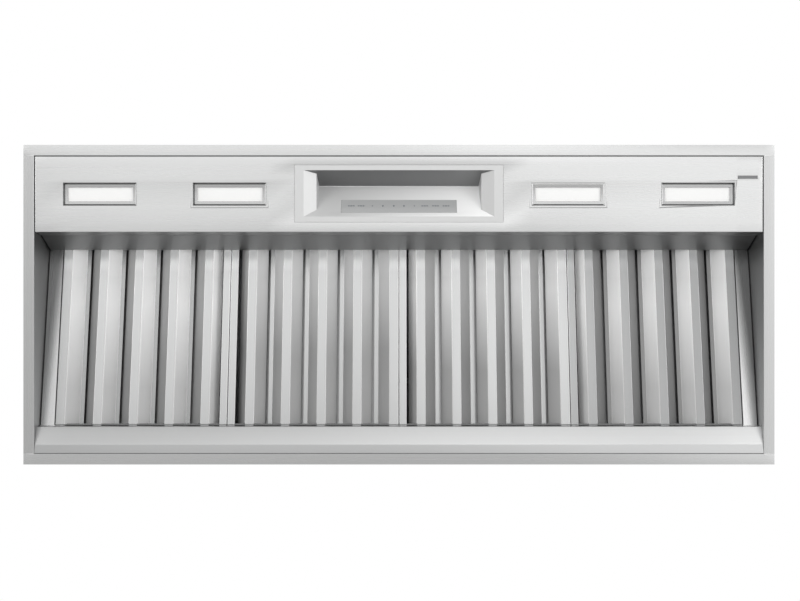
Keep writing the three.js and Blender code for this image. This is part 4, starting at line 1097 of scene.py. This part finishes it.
# %% Cable clamp: a threaded tube with a hexagon nut and a rounded cap
CLAMP = (-420.0, -205.4, 0.0)
BORE, TUBE_LOW, NUT_RADIUS, NUT_HIGH, NUT_Z = 9, 322, 18.6, 4.6, 332.7
thread = [(14.0 - 0.9 * (i % 2), TUBE_LOW + 0.75 * i) for i in range(23)]
cap = [(14, 339.5), (13.6, 343), (12.2, 345.3), (10.4, 346), (BORE, 345.2)]
bm = bmesh.new()
spun(bm, [(BORE, TUBE_LOW), *thread, *cap, (BORE, TUBE_LOW)], CLAMP, steps=36)
place = Matrix.Translation((Vector(CLAMP) + Vector((0, 0, NUT_Z))) * MM)
nut = bmesh.ops.create_cone(bm, cap_ends=True, segments=6, radius1=NUT_RADIUS * MM,
                            radius2=NUT_RADIUS * MM, depth=NUT_HIGH * MM, matrix=place)["verts"]
rounded(bm, {e for v in nut for e in v.link_edges}, 0.5)
finished(bm, "clamp_body", spring_blue, "spring_steel", "cable_clamp")
print("collar and clamp made")

# %% [markdown]
# ## The blower
#
# The two wheels are squirrel cages: many short blades, bent forward, between two end rings. One
# blade is folded as a curved strip and then copied round the shaft. The motor between them has
# ribs that cool it, made by an outline that goes in and out and is spun round the shaft.

# %% Wheels
SHAFT_Y, SHAFT_Z = 110.0, middle_of("motor_shaft")[2]
SHAFT = (0, SHAFT_Y, SHAFT_Z)
WHEEL_X, WHEEL_HALF, RIM, RIM_INNER, BLADES = 100.0, 42.0, 58.0, 47.3, 36
blade_arc = [(0.0, 47.6), (-1.5, 50.6), (-1.9, 53.4), (-0.9, 56.2)]
for name, middle in (("left", -WHEEL_X), ("right", WHEEL_X)):
    bm = bmesh.new()
    blade_line = [(SHAFT_Y + a, SHAFT_Z + r) for a, r in blade_arc]
    fold(bm, blade_line, "x", middle - WHEEL_HALF, middle + WHEEL_HALF, bend=0)
    blade = bm.verts[:] + bm.edges[:] + bm.faces[:]
    for i in range(1, BLADES):
        new = new_of(bmesh.ops.duplicate(bm, geom=blade), bmesh.types.BMVert)
        bmesh.ops.rotate(bm, verts=new, cent=Vector(SHAFT) * MM,
                         matrix=Matrix.Rotation(2 * math.pi * i / BLADES, 3, "X"))
    finished(bm, f"wheel_{name}_blades", zinc_sheet, "galvanised", f"blower_wheel_{name}", "rotor",
             thick=0.7, sharp=60)
    bm = bmesh.new()
    for x in (middle - WHEEL_HALF, middle + WHEEL_HALF):
        spun(bm, [(RIM_INNER, x - 1), (RIM - 0.6, x - 1), (RIM, x - 0.4), (RIM, x + 0.4),
                  (RIM - 0.6, x + 1), (RIM_INNER, x + 1), (RIM_INNER, x - 1)], SHAFT, "X")
    spun(bm, [(46.9, middle - 0.6), (57.0, middle - 0.6), (57.0, middle + 0.6), (46.9, middle + 0.6),
              (46.9, middle - 0.6)], SHAFT, "X")
    finished(bm, f"wheel_{name}_rings", zinc_sheet, "galvanised", body="rotor")

# %% Motor
END_CAP = [(39, 39), (34, 40), (22, 40.5), (22, 43.5), (20, 45), (5.4, 45)]
RIB_FOOT, RIB_TOP = 41.6, 43.8
ribs = []
for x in sorted(side * (15.2 + 4 * i) for i in range(6) for side in (-1, 1)):
    ribs += [(RIB_FOOT, x - 0.2), (RIB_TOP, x + 0.3), (RIB_TOP, x + 1.9), (RIB_FOOT, x + 2.4)]
bm = bmesh.new()
spun(bm, [(r, -x) for r, x in reversed(END_CAP)] + ribs + END_CAP + [(5.4, -45)], SHAFT, "X")
for way, x in (("x", 40.1), ("-x", -40.1)):
    for y, z in around(30, 4, 0.8, 1.57):
        screw(bm, (x, SHAFT_Y + y, SHAFT_Z + z), way, radius=2.6, height=2.0)
finished(bm, "ribbed_motor", motor_black, "motor_paint", "blower_motor")
print("wheels with", BLADES, "blades each, and the motor")

# %% [markdown]
# ## Wiring
#
# The supply enters a junction box through a clamp, and a corrugated conduit takes it to the
# motor. The conduit's path is a smooth curve through a few places. Rings of edges are laid along
# it, every second one narrower, and each is bridged to the one before.

# %% Conduit
HOLE_Z, WIRE_Z = SHAFT_Z + 42, 299.5
PATH = [(-369.7, -205.4, WIRE_Z), (-310, -205.4, WIRE_Z), (-180, -203.4, WIRE_Z - 8),
        (-70, -193.4, HOLE_Z + 20), (7, -175.7, HOLE_Z + 2), (25, -147.7, HOLE_Z), (25, -121.7, HOLE_Z),
        (25, -4, SHAFT_Z + 24), (25, 40, SHAFT_Z + 2), (25, 65.7, SHAFT_Z)]
RINGS, WIDE_RING, NARROW_RING = 300, 7.9, 6.9


def smooth(points, t):
    """A place at t (0..1) on a Catmull-Rom curve through points."""
    seat = min(t, 0.99999) * (len(points) - 1)
    i = int(seat)
    f = seat - i
    p = [Vector(points[max(0, min(len(points) - 1, k))]) for k in (i - 1, i, i + 1, i + 2)]
    return 0.5 * (2 * p[1] + (p[2] - p[0]) * f + (2 * p[0] - 5 * p[1] + 4 * p[2] - p[3]) * f * f
                  + (3 * p[1] - p[0] - 3 * p[2] + p[3]) * f ** 3)


bm = bmesh.new()
last = None
for k in range(RINGS + 1):
    t = k / RINGS
    ahead = smooth(PATH, min(1.0, t + 0.004)) - smooth(PATH, max(0.0, t - 0.004))
    pose = Matrix.Translation(smooth(PATH, t) * MM) @ ahead.to_track_quat("Z", "Y").to_matrix().to_4x4()
    radius = (WIDE_RING if k % 2 else NARROW_RING) * MM
    ring = bmesh.ops.create_circle(bm, segments=14, radius=radius, matrix=pose)["verts"]
    edges = list({e for v in ring for e in v.link_edges})
    if last:
        bmesh.ops.bridge_loops(bm, edges=last + edges)
    last = edges
bmesh.ops.recalc_face_normals(bm, faces=bm.faces[:])
finished(bm, "ribbed_conduit", box_grey, "grey_plastic", "wiring_conduit", sharp=75)

# %% LED driver: a ribbed case with two ears, on the front wall
CASE_X0, CASE_X1, CASE_Z0, CASE_Z1 = 250, 430, 150, 210
bm = bmesh.new()
block(bm, CASE_X0, CASE_X1, -263.4, -231.6, CASE_Z0, CASE_Z1, soften=1.2, segments=3)
for i in range(14):
    x = CASE_X0 + 11 + 12 * i
    block(bm, x, x + 3, -232.2, -229.8, CASE_Z0 + 6, CASE_Z1 - 6)
for x in (CASE_X0 - 5.5, CASE_X1 + 5.5):
    block(bm, x - 6.5, x + 6.5, -263.7, -261.2, CASE_Z0 + 14, CASE_Z1 - 14, soften=0.6)
for x in (CASE_X0 - 6, CASE_X1 + 6):
    screw(bm, (x, -261.2, (CASE_Z0 + CASE_Z1) / 2), "y", radius=3.2)
finished(bm, "driver_case", box_grey, "grey_plastic", "led_driver")
print("wiring made; conduit of", RINGS, "rings")

# %% [markdown]
# ## The pieces that stay as they are
#
# The solids whose shape is already right keep their mesh and only get a finish.

# %% Finishes for the CAD nodes
KEPT = [
    (zinc_sheet, ["top_panel", "discharge_box", "blower_scroll_left", "blower_scroll_right",
                  "motor_bracket", "damper_flap_front", "damper_flap_rear", "junction_box",
                  "junction_box_cover"]),
    (spring_blue, ["motor_shaft", "damper_rod"] + [f"filter_{n}_spring" for n in FILTERS]),
    (sink_grey, [f"light_{i}_module" for i in (1, 2, 3, 4)]),
    (board_green, ["control_board"]),
]
for finish, nodes in KEPT:
    for node in nodes:
        mesh = frame["nodes"][node].data
        mesh.materials.clear()
        mesh.materials.append(finish)
print("finishes for", sum(len(nodes) for _, nodes in KEPT), "solids")

# %% [markdown]
# ## Stage
#
# The floor lies well below the camera.

# %% Floor
FLOOR_HALF, FLOOR_Z = 14.0, -3.8  # metres
bm = bmesh.new()
bmesh.ops.create_grid(bm, x_segments=2, y_segments=2, size=FLOOR_HALF)
bmesh.ops.translate(bm, verts=bm.verts[:], vec=(0, 0, FLOOR_Z))
floor_mesh = bpy.data.meshes.new("floor")
bm.to_mesh(floor_mesh)
bm.free()
floor = bpy.data.objects.new("floor", floor_mesh)
scene.collection.objects.link(floor)
floor_paint = plastic("floor_paint", (0.86, 0.86, 0.855), rough=0.8, grain=40.0, contrast=0.02, bump=0.0)
floor_mesh.materials.append(floor_paint)
